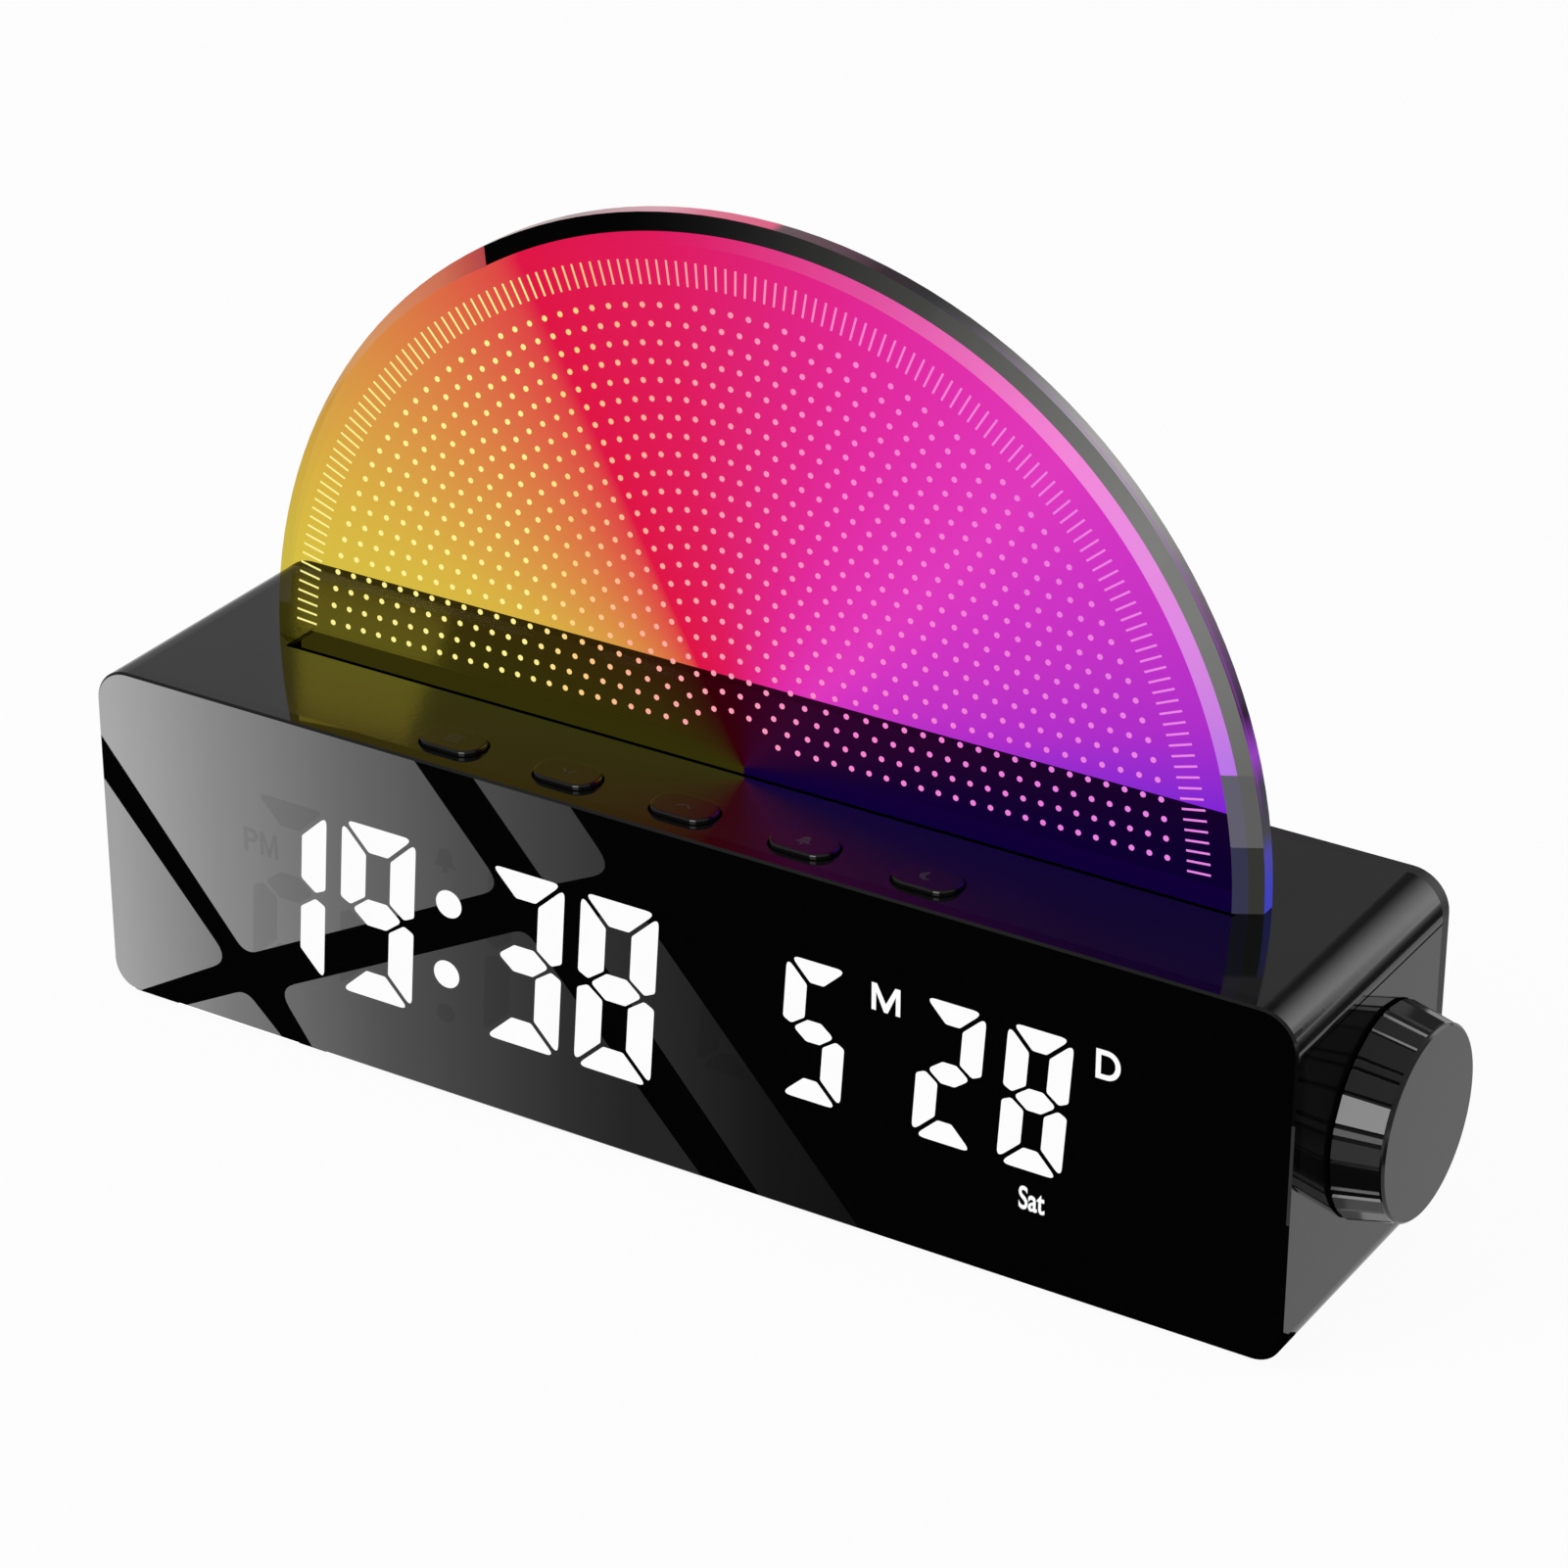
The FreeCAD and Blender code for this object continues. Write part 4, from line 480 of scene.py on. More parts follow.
def tinted_acrylic():
    """Clear acrylic with a sunrise tint; a pale band on its bevel, the dark ring round it and its
    rim are painted light and shade.
    """
    finish = Finish("tinted_acrylic")
    distance, angle, height, depth = plate_polar(finish)
    on_front = depth.below(BEVEL_DEPTH)
    above_cover = height.above(0.0)
    on_bevel = on_front * distance.above(BEVEL_START) * above_cover
    ring_growth = angle.rise(RING_GROWTH_START, RING_END, smooth=False)
    in_ring = distance.above(RING_START - RING_GROWTH * ring_growth)
    dark_side = angle.below(RING_END)
    # Painted shade low down on the bevel and the ring
    bright = height.above(DULL_BELOW)
    dark = height.below(DARK_BELOW) * angle.below(90)

    pane = finish.mix(on_front, finish.clear(WHITE), sunrise_tint(finish))
    # Painted light on the clear left part of the bevel, mixed into the clear pane
    left_light_start = LEFT_LIGHT_START + LEFT_LIGHT_SLANT * (angle - RING_END)
    haze = on_bevel * (1 - dark_side) * distance.above(left_light_start) * (1 - angle.rise(*LEFT_LIGHT_FADE))
    pane = finish.mix(LEFT_LIGHT_SHARE * haze, pane, finish.glow(angle.ramp(shades(LEFT_LIGHT_SHADES))))

    # Painted light and shade: the bevel's pale band and the ring round it, duller and darker low
    # down
    low_band = finish.blend(dark, colour(*DULL_BAND), colour(*DARK_BAND))
    band = finish.blend(bright, low_band, angle.ramp(shades(BAND_SHADES)))
    low_ring = finish.blend(dark, colour(*DULL_RING), colour(*DARK_RING))
    ring = finish.blend(bright, low_ring, angle.ramp(shades(RING_SHADES)))
    edge = finish.blend(in_ring, band, ring)
    # A painted violet glint in the rim
    painted_glint = depth.above(GLINT_DEPTHS[0]) * depth.below(GLINT_DEPTHS[1])
    painted_glint = painted_glint * angle.rise(*GLINT_RISE) * (1 - angle.rise(*GLINT_FADE))
    # The rim's painted highlights and reflections
    rim_shade = angle.ramp(shades(RIM_SHADES))
    rim = finish.blend(GLINT_SHARE * painted_glint, rim_shade, colour(*GLINT_SHADE))
    # The painted light and shade of the bevel, ring and rim, as a fixed glow
    painted_edge_light = finish.glow(finish.blend(on_front, rim, edge))

    band_share = (1 - in_ring) * (1 - angle.rise(*BAND_FADE))
    hidden = on_bevel * dark_side * (band_share + in_ring)
    on_rim = (1 - on_front) * distance.above(PLATE_RADIUS / MM - RIM_WIDTH) * above_cover
    on_rim = on_rim * (1 - angle.rise(*RIM_FADE))
    shell = finish.mix((hidden + on_rim).maths("MINIMUM", 1.0), pane, painted_edge_light)
    # Below the cover: a painted reflection of the cover's sheen on the back, painted black shade on
    # the front
    foot = finish.glow(finish.blend(on_front, grey(FOOT_PAINTED_SHEEN), BLACK))
    shell = finish.mix(above_cover, foot, shell)

    facing = finish.node("LayerWeight", sockets={"Blend": 0.5}).output("Facing")
    polish = 0.03 + 0.02 * finish.noise(12 * MM)
    shine = finish.solid({"Base Color": BLACK, "Roughness": polish})
    mirrored = PLATE_SHINE + (1 - PLATE_SHINE) * facing ** 5.0
    return finish.done(finish.mix(mirrored, shell, shine))


# Shades of the plate's lit marks, by the distance right of its middle in mm
MARK_SHADES = (
    (-83, (255, 245, 150)),
    (-36, (255, 245, 150)),
    (-28, (255, 212, 132)),
    (-18, (255, 180, 150)),
    (-4, (255, 160, 178)),
    (18, (252, 134, 210)),
    (50, (238, 126, 224)),
    (83, (236, 138, 234)),
)


def mark_glow():
    """Engraved marks lit from the plate's edge."""
    finish = Finish("mark_glow")
    across = (finish.parts_of(finish.spot())[0] - PLATE_X) / MM
    uneven = 0.9 + 0.2 * finish.noise(9 * MM)
    shade = across.ramp(shades(MARK_SHADES))
    return finish.done(finish.glow(finish.blend(uneven, BLACK, shade)))


def digit_glow():
    """White light from a diffuser, a touch dimmer in soft patches."""
    finish = Finish("digit_glow")
    cloud = finish.noise(6 * MM, 1.0)
    return finish.done(finish.glow(finish.blend(cloud, grey(250), grey(255))))


def black_sheet(name, roughness, shine):
    """Black acrylic polished like a mirror, with the faintest haze."""
    finish = Finish(name)
    haze = finish.noise(30 * MM, 3.0)
    return finish.done(finish.solid({
        "Base Color": finish.blend(haze, SHEET_BLACK, SHEET_HAZE),
        "Roughness": roughness + 0.012 * haze,
        "Specular IOR Level": shine,
    }))


def window_light(name, fade):
    """Light from a card, with the shade that each place along the front panel mirrors."""
    finish = Finish(name)
    x, y, _ = finish.parts_of(finish.node("NewGeometry"))
    reach = (panel_low.y - y) / (2 * panel_low.y - CAMERA_PLACE.y - y)
    along = (x + (CAMERA_PLACE.x - x) * reach - BODY_LEFT) / MM
    brightest = MIRROR_SHARE * WINDOW_STRENGTH
    stops = [(place, (linear(shade) / brightest,) * 3 + (1.0,)) for place, shade in fade]
    return finish.done(finish.glow(along.ramp(stops), WINDOW_STRENGTH))


def card_light(name, axis, stops):
    """Light from a card that changes along one axis of the frame, at places in metres."""
    finish = Finish(name)
    place = finish.parts_of(finish.node("NewGeometry"))[axis]
    strongest = max(strength for _, strength in stops)
    shares = [(at, (strength / strongest,) * 3 + (1.0,)) for at, strength in stops]
    return finish.done(finish.glow(place.ramp(shares), strongest))


# How much of the floor's look is plain white, and how much of that a reflection loses
FLOOR_WHITE_SHARE = 0.95
FLOOR_MIRROR_LOSS = 0.3


def floor_paint():
    """Pale floor: nearly white to the eye, dimmer in reflections, and it keeps the shadow."""
    finish = Finish("floor_paint")
    lights = finish.node("LightPath")
    mirrored = lights.output("Is Glossy Ray")
    seen = lights.output("Is Camera Ray").maths("MAXIMUM", mirrored)
    seen = seen.maths("MAXIMUM", lights.output("Is Transmission Ray"))
    paint = finish.solid({"Base Color": grey(238), "Roughness": 0.9 + 0.05 * finish.noise(0.2)})
    white = finish.glow(WHITE, 1.0 - FLOOR_MIRROR_LOSS * mirrored)
    return finish.done(finish.mix(FLOOR_WHITE_SHARE * seen, paint, white))


# Meshes

# Prints start this far under the face that they lie on, in mm
PRINT_FOOT = -0.01
CORNER_STEPS = 6


def tangent_corner(before, corner, after, radius):
    """Points of a curve that rounds one corner of an outline."""
    to_before = (before - corner).normalized()
    to_after = (after - corner).normalized()
    half = to_before.angle(to_after) / 2
    reach = min(radius / math.tan(half), (before - corner).length / 2, (after - corner).length / 2)
    start = corner + to_before * reach
    end = corner + to_after * reach
    points = []
    for step in range(CORNER_STEPS + 1):
        share = step / CORNER_STEPS
        from_start = start * (1 - share) ** 2
        from_corner = corner * 2 * share * (1 - share)
        points.append(from_start + from_corner + end * share ** 2)
    return points


def rounded(outline, radius):
    corners = [Vector(point) for point in outline]
    points = []
    for place, corner in enumerate(corners):
        after = corners[(place + 1) % len(corners)]
        points += tangent_corner(corners[place - 1], corner, after, radius)
    return points


def disc(x, z, radius, sides):
    turns = [2 * math.pi / sides * side for side in range(sides)]
    return [(x + radius * math.cos(turn), z + radius * math.sin(turn)) for turn in turns]


def bar(start, end, width):
    """A straight stroke between two points."""
    start, end = Vector(start), Vector(end)
    along = (end - start).normalized()
    aside = Vector((-along.y, along.x)) * width / 2
    return [start + aside, start - aside, end - aside, end + aside]


def prisms(outlines, low, high, place):
    """A mesh with a prism for each outline, from low to high above the face it is placed on."""
    shape = bmesh.new()
    for outline in outlines:
        bottom = [shape.verts.new(place(u, v, low)) for u, v in outline]
        top = [shape.verts.new(place(u, v, high)) for u, v in outline]
        shape.faces.new(bottom)
        shape.faces.new(top)
        for start in range(len(outline)):
            end = (start + 1) % len(outline)
            shape.faces.new((bottom[start], bottom[end], top[end], top[start]))
    bmesh.ops.recalc_face_normals(shape, faces=shape.faces)
    mesh = bpy.data.meshes.new("prisms")
    shape.to_mesh(mesh)
    shape.free()
    return mesh


def piece(name, mesh, finish, body="clock_body"):
    """An object of the part, made of a mesh in the frame's place."""
    made = bpy.data.objects.new(name, mesh)
    mesh.materials.clear()
    mesh.materials.append(finish)
    bpy.context.scene.collection.objects.link(made)
    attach(made, body)
    return made


def on_panel(u, v, lift):
    return Vector((BODY_X + u * MM, panel_low.y - lift * MM, v * MM))


def on_plate(u, v, lift):
    return Vector((PLATE_X + u * MM, PLATE_FRONT - lift * MM, PLATE_Z + v * MM))


# Marks of the light plate, and the black strip behind it that stands in for the shade in the slot,
# in mm. The marks turn round a point given from the plate's middle and lower edge, and the strip is
# placed from its back face.

SLOT_SHADE_HALF = 79.7
SLOT_SHADE_FRONT = 0.02
SLOT_SHADE_BACK = 0.79
SLOT_SHADE_DEPTH = 1.2
SLOT_SHADE_TOP = -0.01
MARKS_X = -1.1
MARKS_Z = -0.4
TICK_INNER = 73.4
TICK_OUTER = 77.0
TICK_WIDTH = 0.32
TICK_COUNT = 144
TICKS_FOOT = 5.1
DOT_RADIUS = 0.46
DOT_SIDES = 8
DOT_OUTER = 70.4
DOT_RING_STEP = 2.75
DOT_SPACING = 2.9
DOTS_FOOT = 6.1
MARK_LIFT = 0.02


def polar(distance, angle):
    return (MARKS_X + distance * math.cos(angle), MARKS_Z + distance * math.sin(angle))


def ticks():
    start = math.asin(TICKS_FOOT * 2 / (TICK_INNER + TICK_OUTER))
    step = (math.pi - 2 * start) / (TICK_COUNT - 1)
    angles = [start + step * place for place in range(TICK_COUNT)]
    ends = [(polar(TICK_INNER, angle), polar(TICK_OUTER, angle)) for angle in angles]
    return [bar(inner, outer, TICK_WIDTH) for inner, outer in ends]


def dots():
    """Rings of dots that all end at one height."""
    outlines = []
    distance = DOT_OUTER
    while distance > DOTS_FOOT + DOT_RING_STEP / 2:
        start = math.asin(DOTS_FOOT / distance)
        span = math.pi - 2 * start
        gaps = round(span * distance / DOT_SPACING)
        for place in range(gaps + 1):
            x, z = polar(distance, start + span * place / gaps)
            outlines.append(disc(x, z, DOT_RADIUS, DOT_SIDES))
        distance -= DOT_RING_STEP
    return outlines


# Display

# Each digit's state, segment by segment: top, upper left, upper right, middle, lower left,
# lower right, bottom. A segment is lit, unlit (0) or hidden; the afternoon sign takes the
# place of the hidden one.
LIT = "1"
HIDDEN = "x"
TWO, THREE, FIVE = "1011101", "1011011", "1101011"
EIGHT, NINE, BLANK = "1111111", "1111011", "0000000"
LEADING_ONE = "0x10010"
DIGIT_SLANT = math.tan(math.radians(3.75))
DIGIT_JOINT = 0.5
SEGMENT_ROUNDING = 0.7
# Width, height and stroke in mm
BIG_DIGIT = (13.2, 29.0, 4.4)
SMALL_DIGIT = (10.2, 22.7, 3.5)
# Left edge of each digit from the middle of the body, its size and its state
DIGITS = (
    (-73.0, BIG_DIGIT, LEADING_ONE),
    (-57.0, BIG_DIGIT, NINE),
    (-31.0, BIG_DIGIT, THREE),
    (-15.0, BIG_DIGIT, EIGHT),
    (6.2, SMALL_DIGIT, BLANK),
    (19.8, SMALL_DIGIT, FIVE),
    (41.6, SMALL_DIGIT, TWO),
    (55.2, SMALL_DIGIT, EIGHT),
)
DIGIT_TOP = digits_high.z / MM
COLON_X = -37.2
COLON_RADIUS = 2.25
COLON_HEIGHTS = (21.7, 33.6)
# How far lit and unlit parts stand out from the panel
GLOW_LIFT = 0.012
SHADOW_LIFT = 0.004


def segment_outlines(width, height, stroke):
    """The seven segments of an upright digit, with mitred ends."""
    half = height / 2
    inner = stroke + DIGIT_JOINT
    point = stroke / 2
    notch = stroke / 5
    high = half + stroke / 2
    top = [
        (DIGIT_JOINT, height),
        (width - DIGIT_JOINT, height),
        (width - inner, height - stroke),
        (inner, height - stroke),
    ]
    upper_left = [
        (0, height - DIGIT_JOINT),
        (stroke, height - inner),
        (stroke, high + DIGIT_JOINT / 2),
        (2 * notch, half + DIGIT_JOINT),
        (0, half + DIGIT_JOINT + notch),
    ]
    middle = [(point, half), (inner, high), (width - inner, high)]
    middle += [(width - x, height - z) for x, z in middle]
    upper_right = [(width - x, z) for x, z in upper_left]
    lower_left = [(x, height - z) for x, z in upper_left]
    lower_right = [(width - x, height - z) for x, z in upper_left]
    bottom = [(x, height - z) for x, z in top]
    return [top, upper_left, upper_right, middle, lower_left, lower_right, bottom]


def display_segments():
    """The lit and the unlit segments of all digits, as outlines on the panel."""
    lit, unlit = [], []
    for left, (width, height, stroke), states in DIGITS:
        bottom = DIGIT_TOP - height
        for outline, state in zip(segment_outlines(width, height, stroke), states):
            leaning = [(left + x + z * DIGIT_SLANT, bottom + z) for x, z in outline]
            if state != HIDDEN:
                (lit if state == LIT else unlit).append(rounded(leaning, SEGMENT_ROUNDING))
    return lit, unlit


def lettering(words, x, z, height, width, lift, weight):
    """Plain letters on the panel, as a mesh: their middle, height and total width in mm."""
    text = bpy.data.curves.new("lettering", "FONT")
    text.body = words
    text.size = 1.0
    text.offset = weight
    text.extrude = 0.01
    holder = bpy.data.objects.new("lettering", text)
    bpy.context.scene.collection.objects.link(holder)
    graph = bpy.context.evaluated_depsgraph_get()
    mesh = bpy.data.meshes.new_from_object(holder.evaluated_get(graph))
    bpy.data.objects.remove(holder)
    low = Vector(min(vertex.co[axis] for vertex in mesh.vertices) for axis in range(3))
    high = Vector(max(vertex.co[axis] for vertex in mesh.vertices) for axis in range(3))
    middle = (low + high) / 2
    for vertex in mesh.vertices:
        u = x + (vertex.co.x - middle.x) / (high.x - low.x) * width
        v = z + (vertex.co.y - middle.y) / (high.y - low.y) * height
        share = (vertex.co.z - low.z) / (high.z - low.z)
        vertex.co = on_panel(u, v, lift * (2 * share - 1))
    return mesh


def letter_m(x, z, height, width, stroke):
    """The outline of a capital M round its middle."""
    right = [
        (width / 2 - stroke * 1.15, height / 2),
        (width / 2, height / 2),
        (width / 2, -height / 2),
        (width / 2 - stroke, -height / 2),
        (width / 2 - stroke, height / 2 - stroke * 1.9),
        (stroke * 0.42, -height / 2),
    ]
    left = [(-u, v) for u, v in reversed(right)]
    fork = (0.0, -height / 2 + stroke * 1.9)
    return [(x + u, z + v) for u, v in right + left + [fork]]


def bell_outline(x, z, size):
    """A bell: dome, flared mouth and clapper."""
    dome = [(-0.5, -0.3), (-0.32, -0.05), (-0.3, 0.2), (-0.18, 0.42), (0, 0.5)]
    dome += [(-u, v) for u, v in reversed(dome[:-1])]
    clapper = disc(0, -0.42, 0.12, 12)
    return [[(x + u * size, z + v * size) for u, v in shape] for shape in (dome, clapper)]


# Button legends: generic signs printed on the caps

BUTTONS = ("mode", "down", "up", "alarm", "snooze")
LEGEND_LIFT = 0.01
LINE_STROKE = 0.3
ARROW_STROKE = 0.35


def legend_strokes(name):
    """A sign of about 2.5 mm across, as strokes round its middle."""
    if name == "mode":
        return [bar((-1.3, level), (1.3, level), LINE_STROKE) for level in (-0.8, 0.0, 0.8)]
    if name == "down":
        return [
            bar((-1.1, 0.6), (0.05, -0.6), ARROW_STROKE),
            bar((-0.05, -0.6), (1.1, 0.6), ARROW_STROKE),
        ]
    if name == "up":
        return [
            bar((-1.1, -0.6), (0.05, 0.6), ARROW_STROKE),
            bar((-0.05, 0.6), (1.1, -0.6), ARROW_STROKE),
        ]
    if name == "alarm":
        return bell_outline(0, 0, 2.4)
    crescent = [(-0.2, 1.2), (-1.0, 0.7), (-1.25, 0), (-1.0, -0.7), (-0.2, -1.2), (0.8, -0.9)]
    crescent += [(0.0, -0.6), (-0.35, 0.0), (-0.1, 0.7)]
    return [crescent]


def add_legends(finish):
    for name in BUTTONS:
        low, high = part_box(name + "_button")
        middle = (low + high) / 2

        def on_cap(u, v, lift):
            return Vector((middle.x + u * MM, middle.y + v * MM, high.z + lift * MM))

        sign = prisms(legend_strokes(name), PRINT_FOOT, LEGEND_LIFT, on_cap)
        piece(name + "_legend", sign, finish, name + "_key")


# Studio: camera, floor, lights, and cards that only reflections show

CAMERA_PLACE = Vector((338.922, -548.060, 387.779)) * MM
CAMERA_TURN = (62.6144, -0.1577, 31.6413)
CAMERA_LENS = 116.3
CAMERA_SENSOR = 36.0
# Strength of the world's light on the object, in reflections and to the eye
WORLD_LIGHT = 0.5
WORLD_MIRRORED = 0.36
WORLD_SEEN = 1.0
FLOOR_HALF = 4.0
# Height of the window's panes over the floor, in mm, and how far below them the dark card lies
CARD_HEIGHT = 0.5
CARD_GAP = Vector((0, 0, 0.3)) * MM
PANE_ROUNDING = 3.0
# The share of light that the front panel mirrors to the camera, and the strength of the panes
MIRROR_SHARE = 0.0515
WINDOW_STRENGTH = 9.0
# Shades of the mirrored window, by the place along the front panel in mm from its left end
UPPER_FADE = ((2, 167), (21, 138), (45, 106), (66, 80), (78, 68), (95, 50))
LOWER_FADE = ((2, 158), (8, 146), (22, 119), (38, 99), (51, 80), (66, 65), (84, 46), (95, 36))
STRIP_FADE = ((86, 50), (104, 37), (118, 22), (140, 12))
# Each pane's corners in the mirror, in mm from the body's lower left corner, and its shades
PANES = (
    ("window_pane_1", ((-6, 60), (53.2, 60), (73.2, 37.7), (25.7, 12.8), (-6, 50.7)), UPPER_FADE),
    ("window_pane_2", ((63.6, 60), (80.3, 60), (92.5, 46), (81, 40.5)), UPPER_FADE),
    ("window_pane_3", ((-6, 43), (22.5, 10.7), (-5.9, -6), (-6, -6)), LOWER_FADE),
    ("window_pane_4", ((1.6, -6), (25.3, 6.5), (38.6, -6)), LOWER_FADE),
    ("window_pane_5", ((31.5, 8.7), (77, 32.2), (112.8, -6), (42, -6)), LOWER_FADE),
    ("window_pane_6", ((86, 35.6), (96, 41.8), (139, -6), (122.3, -6)), STRIP_FADE),
)
# The dark rest of what the front panel mirrors
DARK_CORNERS = ((-8, -8), (-8, 64), (208, 64), (208, -8))
# Two more cards over the floor, as their left, front, right and back edges in metres and their
# heights: a dark one under the knob, and a bright one to the right
KNOB_SHADE = (0.096, -0.047, 0.13, -0.0215)
KNOB_SHADE_HEIGHT = 0.4 * MM
SIDE_FLOOR = (0.155, -0.3, 1.2, 1.2)
SIDE_FLOOR_HEIGHT = 0.3 * MM
SIDE_FLOOR_LIGHT = ((0.155, 0.05), (0.2, 0.06), (0.29, 0.35), (0.5, 0.9), (0.7, 1.3), (1.2, 1.3))
# Two upright cards, as their lower left and upper right corners in metres: one behind, which
# the top and its rounded corner show, and one in front, which the knob shows
BACK_WALL = ((-1.4, 0.0), (0.88, 1.1))
BACK_WALL_Y = 1.0
BACK_WALL_LIGHT = (
    (-1.4, 0.47), (-0.9, 0.45), (-0.6, 0.4), (-0.42, 0.31), (-0.3, 0.3), (-0.2, 0.1),
    (-0.05, 0.1), (0.05, 0.25), (0.28, 0.84), (0.52, 1.7), (0.7, 2.3), (0.78, 2.4), (0.86, 1.4),
)
FRONT_WALL = ((-0.1, 0.0), (0.5, 1.0))
FRONT_WALL_Y = -1.0
FRONT_WALL_LIGHT = ((0.0, 2.5), (0.25, 6.5), (0.45, 6.5), (0.8, 3.3), (1.0, 2.5))
# Corners on the top cover, in mm, of the window that it mirrors
TOP_WINDOW = ((-97.8, 18.3), (-67.0, -22.4), (-50.0, -19.6), (-68.4, 18.6))
TOP_WINDOW_Y = 0.3
TOP_WINDOW_LIGHT = 1.37


def in_mirror(u, v):
    """Where on the floor the camera looks by way of this point of the front panel."""
    point = Vector((BODY_LEFT + u * MM, panel_low.y, BODY_BOTTOM + v * MM))
    sight = point - CAMERA_PLACE
    reach = (point.z - CARD_HEIGHT * MM) / -sight.z
    return Vector((point.x + sight.x * reach, point.y - sight.y * reach, CARD_HEIGHT * MM))


def in_top(x, y):
    """Where on an upright card the camera looks by way of this point of the top cover."""
    point = Vector((x * MM, y * MM, PLATE_Z))
    sight = point - CAMERA_PLACE
    reach = (TOP_WINDOW_Y - point.y) / sight.y
    return Vector((point.x + sight.x * reach, TOP_WINDOW_Y, point.z - sight.z * reach))


def stage_card(name, corners, finish, only_in_reflections=True):
    """A flat card of the studio, with corners in order."""
    shape = bmesh.new()
    shape.faces.new([shape.verts.new(corner) for corner in corners])
    mesh = bpy.data.meshes.new(name)
    shape.to_mesh(mesh)
    shape.free()
    mesh.materials.append(finish)
    card = bpy.data.objects.new(name, mesh)
    bpy.context.scene.collection.objects.link(card)
    if only_in_reflections:
        card.visible_camera = False
        card.visible_diffuse = False
        card.visible_transmission = False
        card.visible_shadow = False


def flat(left, front, right, back, z):
    corners = ((left, front), (right, front), (right, back), (left, back))
    return [Vector((x, y, z)) for x, y in corners]


def upright(low, high, y):
    corners = (low, (high[0], low[1]), high, (low[0], high[1]))
    return [Vector((x, y, z)) for x, z in corners]


def add_studio():
    floor = flat(-FLOOR_HALF, -FLOOR_HALF, FLOOR_HALF, FLOOR_HALF, 0.0)
    stage_card("floor", floor, floor_paint(), False)
    black = Finish("black_card")
    dark_card = black.done(black.glow(BLACK))
    stage_card("dark_card", [in_mirror(u, v) - CARD_GAP for u, v in DARK_CORNERS], dark_card)
    stage_card("knob_shade", flat(*KNOB_SHADE, KNOB_SHADE_HEIGHT), dark_card)
    for name, corners, fade in PANES:
        light = window_light(name + "_light", fade)
        stage_card(name, [in_mirror(u, v) for u, v in rounded(corners, PANE_ROUNDING)], light)
    window = Finish("top_window_light")
    top_window = window.done(window.glow(WHITE, TOP_WINDOW_LIGHT))
    stage_card("top_window", [in_top(x, y) for x, y in TOP_WINDOW], top_window)
    back_light = card_light("back_wall_light", 0, BACK_WALL_LIGHT)
    stage_card("back_wall", upright(*BACK_WALL, BACK_WALL_Y), back_light)
    side_light = card_light("side_floor_light", 0, SIDE_FLOOR_LIGHT)
    stage_card("side_floor", flat(*SIDE_FLOOR, SIDE_FLOOR_HEIGHT), side_light)
    front_light = card_light("front_wall_light", 2, FRONT_WALL_LIGHT)
    stage_card("front_wall", upright(*FRONT_WALL, FRONT_WALL_Y), front_light)


def area_light(name, place, aim, width, power):
    """A soft lamp at a place, facing another, that no reflection shows."""
    lamp = bpy.data.lights.new(name, "AREA")
    lamp.size = width
    lamp.energy = power
    holder = bpy.data.objects.new(name, lamp)
    holder.location = place
    holder.rotation_euler = (Vector(aim) - Vector(place)).to_track_quat("-Z", "Y").to_euler()
    holder.visible_glossy = False
    bpy.context.scene.collection.objects.link(holder)


def add_world():
    """Even studio light: white to the camera, darker in reflections."""
    world = bpy.data.worlds.new("studio")
    bpy.context.scene.world = world
    sky = Finish("studio", world)
    rays = sky.node("LightPath")

    def even(strength):
        return sky.node("Background", sockets={"Color": WHITE, "Strength": strength})

    light = sky.mix(rays.output("Is Glossy Ray"), even(WORLD_LIGHT), even(WORLD_MIRRORED))
    seen = sky.mix(rays.output("Is Camera Ray"), light, even(WORLD_SEEN))
    sky.node("OutputWorld", sockets={"Surface": seen})


def add_camera():
    camera = bpy.data.cameras.new("camera")
    camera.lens = CAMERA_LENS
    camera.sensor_width = CAMERA_SENSOR
    holder = bpy.data.objects.new("camera", camera)
    holder.location = CAMERA_PLACE
    holder.rotation_euler = Euler([math.radians(turn) for turn in CAMERA_TURN])
    bpy.context.scene.collection.objects.link(holder)
    bpy.context.scene.camera = holder


# Finishes of the carried-over nodes

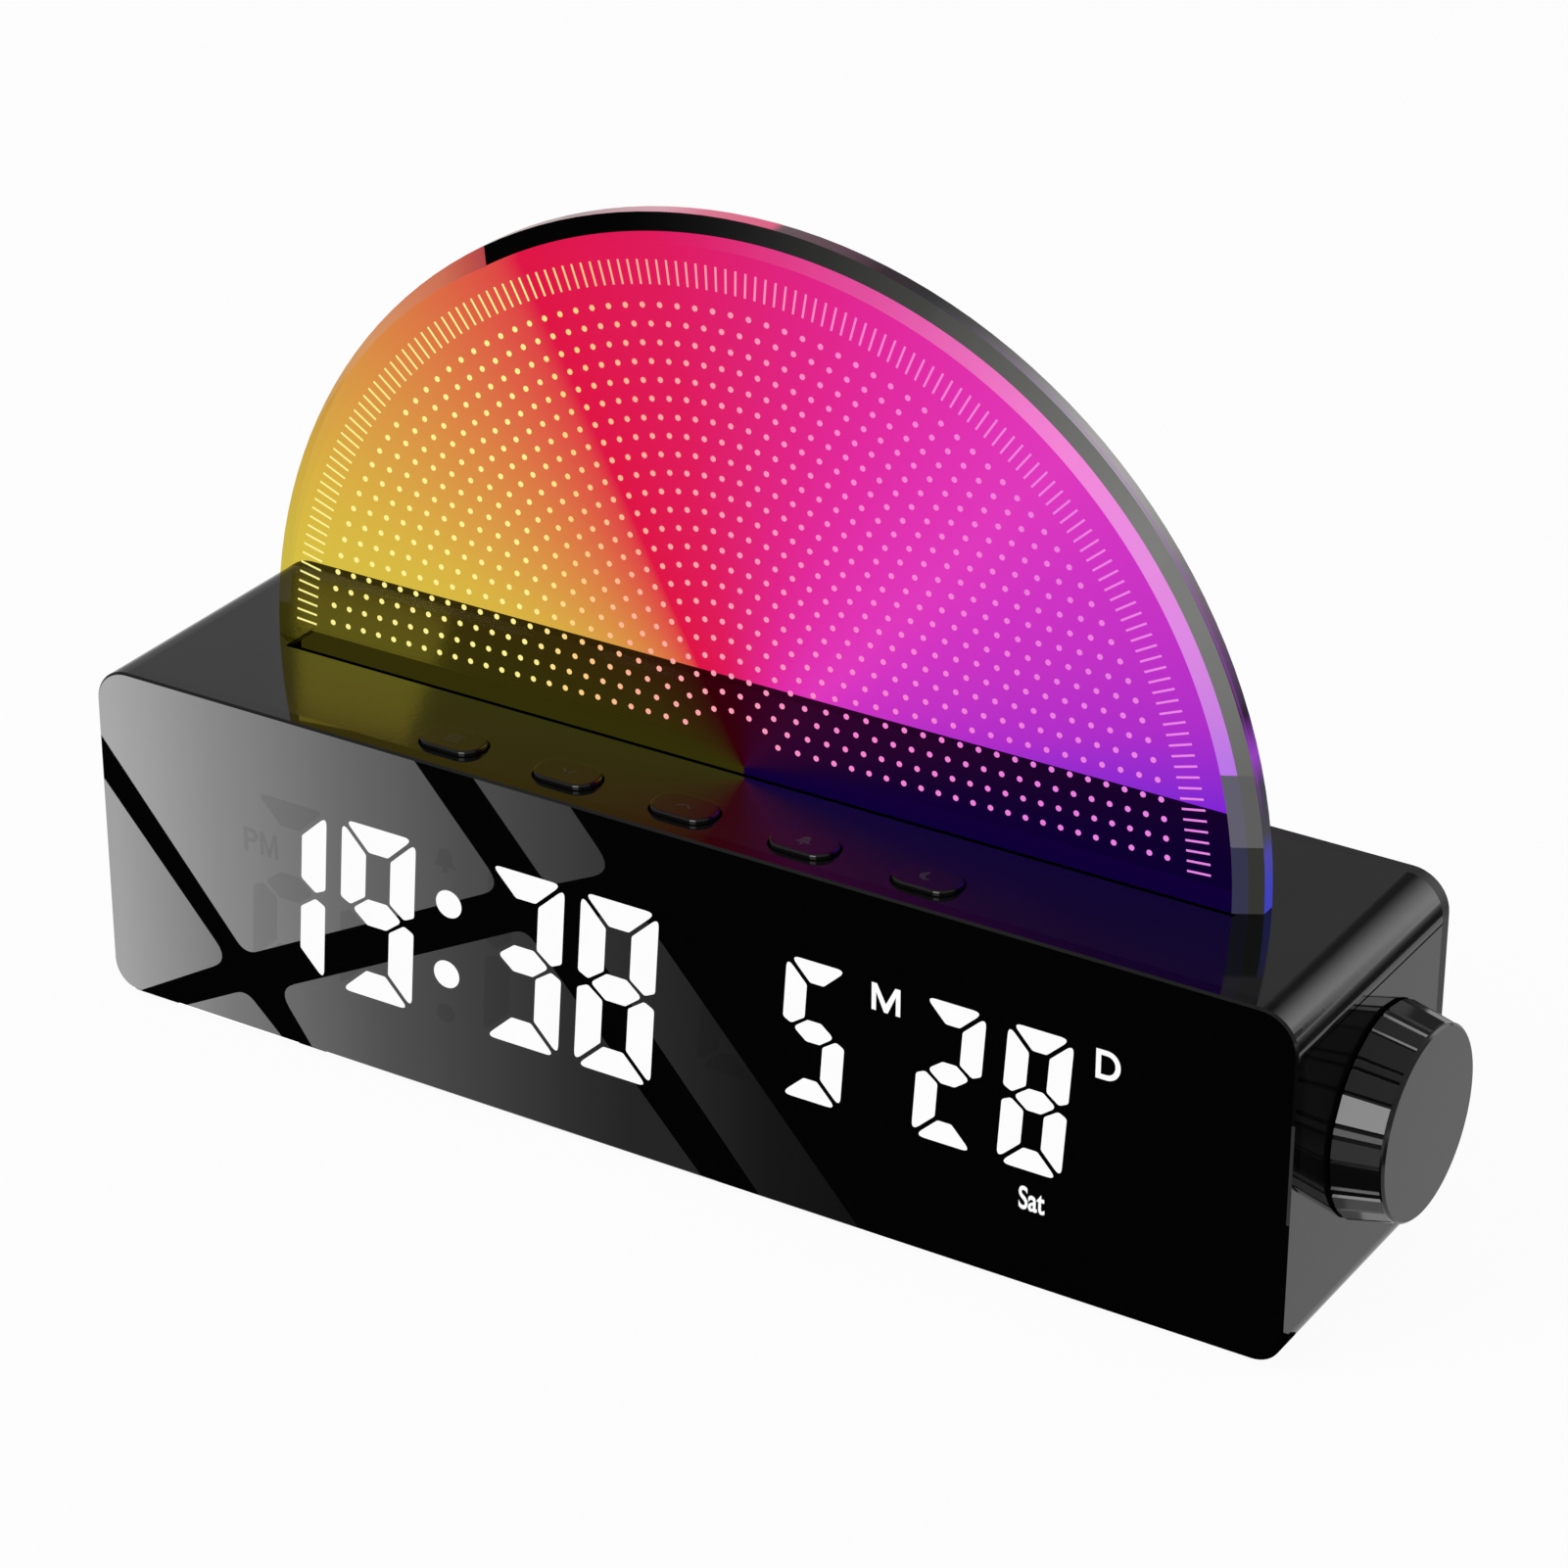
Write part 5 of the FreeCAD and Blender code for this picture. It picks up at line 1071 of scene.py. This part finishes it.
FINISHES = (
    (black_sheet("mirror_sheet", 0.004, 0.5), ("front_panel",)),
    (plastic("gloss_shell", GLOSS_BLACK, 0.05, 0.04, 0.9 * MM, 0.002 * MM),
     ("top_cover", "base_tub")),
    (plastic("gloss_cap", GLOSS_BLACK, 0.06, 0.05, 0.6 * MM, 0.002 * MM),
     tuple(name + "_button" for name in BUTTONS)),
    (plastic("satin_cover", grey(30), 0.42, 0.12, 0.25 * MM, 0.02 * MM), ("rear_cover",)),
    (plastic("knob_gloss", KNOB_BLACK, 0.12, 0.06, 0.5 * MM, 0.003 * MM), ("control_knob",)),
    (plastic("soft_rubber", grey(36), 0.75, 0.2, 0.3 * MM, 0.04 * MM, 5 * MM),
     ("foot_pads", "speaker_surround", "speaker_gasket")),
    (plastic("white_moulding", grey(226), 0.5, 0.15, 0.3 * MM, 0.01 * MM),
     ("display_reflector", "plate_holder")),
    (plastic("segment_diffuser", grey(236), 0.35, 0.15, 0.4 * MM, 0.01 * MM), ("digit_segments",)),
    (plastic("plunger_moulding", grey(208), 0.4, 0.15, 0.3 * MM, 0.01 * MM),
     tuple(name + "_plunger" for name in BUTTONS)),
    (plastic("black_moulding", grey(28), 0.4, 0.2, 0.2 * MM, 0.01 * MM, 4 * MM),
     ("tact_switches", "board_chips", "coin_cell_holder", "usb_tongue")),
    (led_lens(), ("strip_leds", "segment_leds")),
    (circuit_board(),
     ("strip_board", "display_board", "button_board", "encoder_board", "main_board")),
    (brushed("plated_steel", grey(190), 0.22, 0.2 * MM, (1.0, 0.2, 1.0)),
     ("rear_screws", "board_screws", "holder_screws", "button_board_screws", "display_screws",
      "speaker_screws", "encoder_washer", "encoder_nut", "encoder_body", "encoder_shaft",
      "usb_socket", "coin_cell")),
    (plastic("speaker_paint", grey(52), 0.38, 0.2, 0.4 * MM, 0.01 * MM),
     ("speaker_frame", "speaker_magnet")),
    (cone_paper(), ("speaker_cone",)),
    (capacitor_can(), ("capacitors",)),
    (ribbon_lead(),
     ("display_lead", "button_lead", "strip_lead", "encoder_lead", "speaker_lead")),
    (tinted_acrylic(), ("light_plate",)),
)


def dress_nodes():
    for finish, names in FINISHES:
        for name in names:
            for place in nodes[name].material_slots:
                place.material = finish


def panel_print(name, outlines, lift, finish):
    piece(name, prisms(outlines, PRINT_FOOT, lift, on_panel), finish)


def add_display():
    """The lit parts glow, and the unlit ones are the panel's black with a duller polish."""
    glow = digit_glow()
    shadow = black_sheet("unlit_print", 0.01, 0.42)
    lit, unlit = display_segments()
    for height in COLON_HEIGHTS:
        lean = (height - COLON_HEIGHTS[0]) * DIGIT_SLANT
        lit.append(disc(COLON_X + lean, height, COLON_RADIUS, 40))
    panel_print("lit_segments", lit, GLOW_LIFT, glow)
    panel_print("unlit_segments", unlit, SHADOW_LIFT, shadow)
    panel_print("month_letter", [letter_m(37.3, 40.0, 4.3, 4.6, 0.72)], GLOW_LIFT, glow)
    piece("day_letter", lettering("D", 72.1, 40.2, 4.6, 3.8, GLOW_LIFT, 0.02), glow)
    piece("weekday_letters", lettering("Sat", 61.0, 15.3, 3.8, 4.1, GLOW_LIFT, 0.02), glow)
    piece("afternoon_p", lettering("P", -72.2, 34.1, 4.0, 2.6, SHADOW_LIFT, 0.01), shadow)
    panel_print("afternoon_m", [letter_m(-68.9, 34.1, 4.0, 3.2, 0.6)], SHADOW_LIFT, shadow)
    panel_print("small_sign", [disc(-37.6, 15.0, 1.6, 20)], SHADOW_LIFT, shadow)
    panel_print("alarm_bell", bell_outline(-36.9, 40.8, 4.0), SHADOW_LIFT, shadow)


def add_plate_marks():
    """The lit ticks and dots, which the glossy parts round them don't show."""
    glow = mark_glow()
    for name, outlines in (("plate_ticks", ticks()), ("plate_dots", dots())):
        marks = piece(name, prisms(outlines, PRINT_FOOT, MARK_LIFT, on_plate), glow)
        marks.visible_glossy = False


def add_slot_shade():
    """A black strip that closes the slot behind the plate: painted shade, standing in for the
    shadow in the slot.
    """
    corners = [
        (-SLOT_SHADE_HALF, SLOT_SHADE_FRONT),
        (SLOT_SHADE_HALF, SLOT_SHADE_FRONT),
        (SLOT_SHADE_HALF, SLOT_SHADE_BACK),
        (-SLOT_SHADE_HALF, SLOT_SHADE_BACK),
    ]

    def in_slot(u, v, lift):
        return Vector((PLATE_X + u * MM, plate_high.y + v * MM, PLATE_Z + lift * MM))

    finish = plastic("slot_shade_black", GLOSS_BLACK, 0.06, 0.04, 0.9 * MM, 0.002 * MM)
    piece("slot_shade_strip", prisms([corners], -SLOT_SHADE_DEPTH, SLOT_SHADE_TOP, in_slot), finish)


dress_nodes()
# A black strip as painted shade in the slot behind the plate
add_slot_shade()
add_plate_marks()
add_display()
add_legends(plastic("legend_print", grey(46), 0.4, 0.1, 0.4 * MM, 0.001 * MM))
add_studio()
add_world()
add_camera()
area_light("key_light", (-0.7, -1.0, 1.5), (0, 0, 0.05), 0.9, 12.0)

scene = bpy.context.scene
scene.view_settings.view_transform = "Standard"
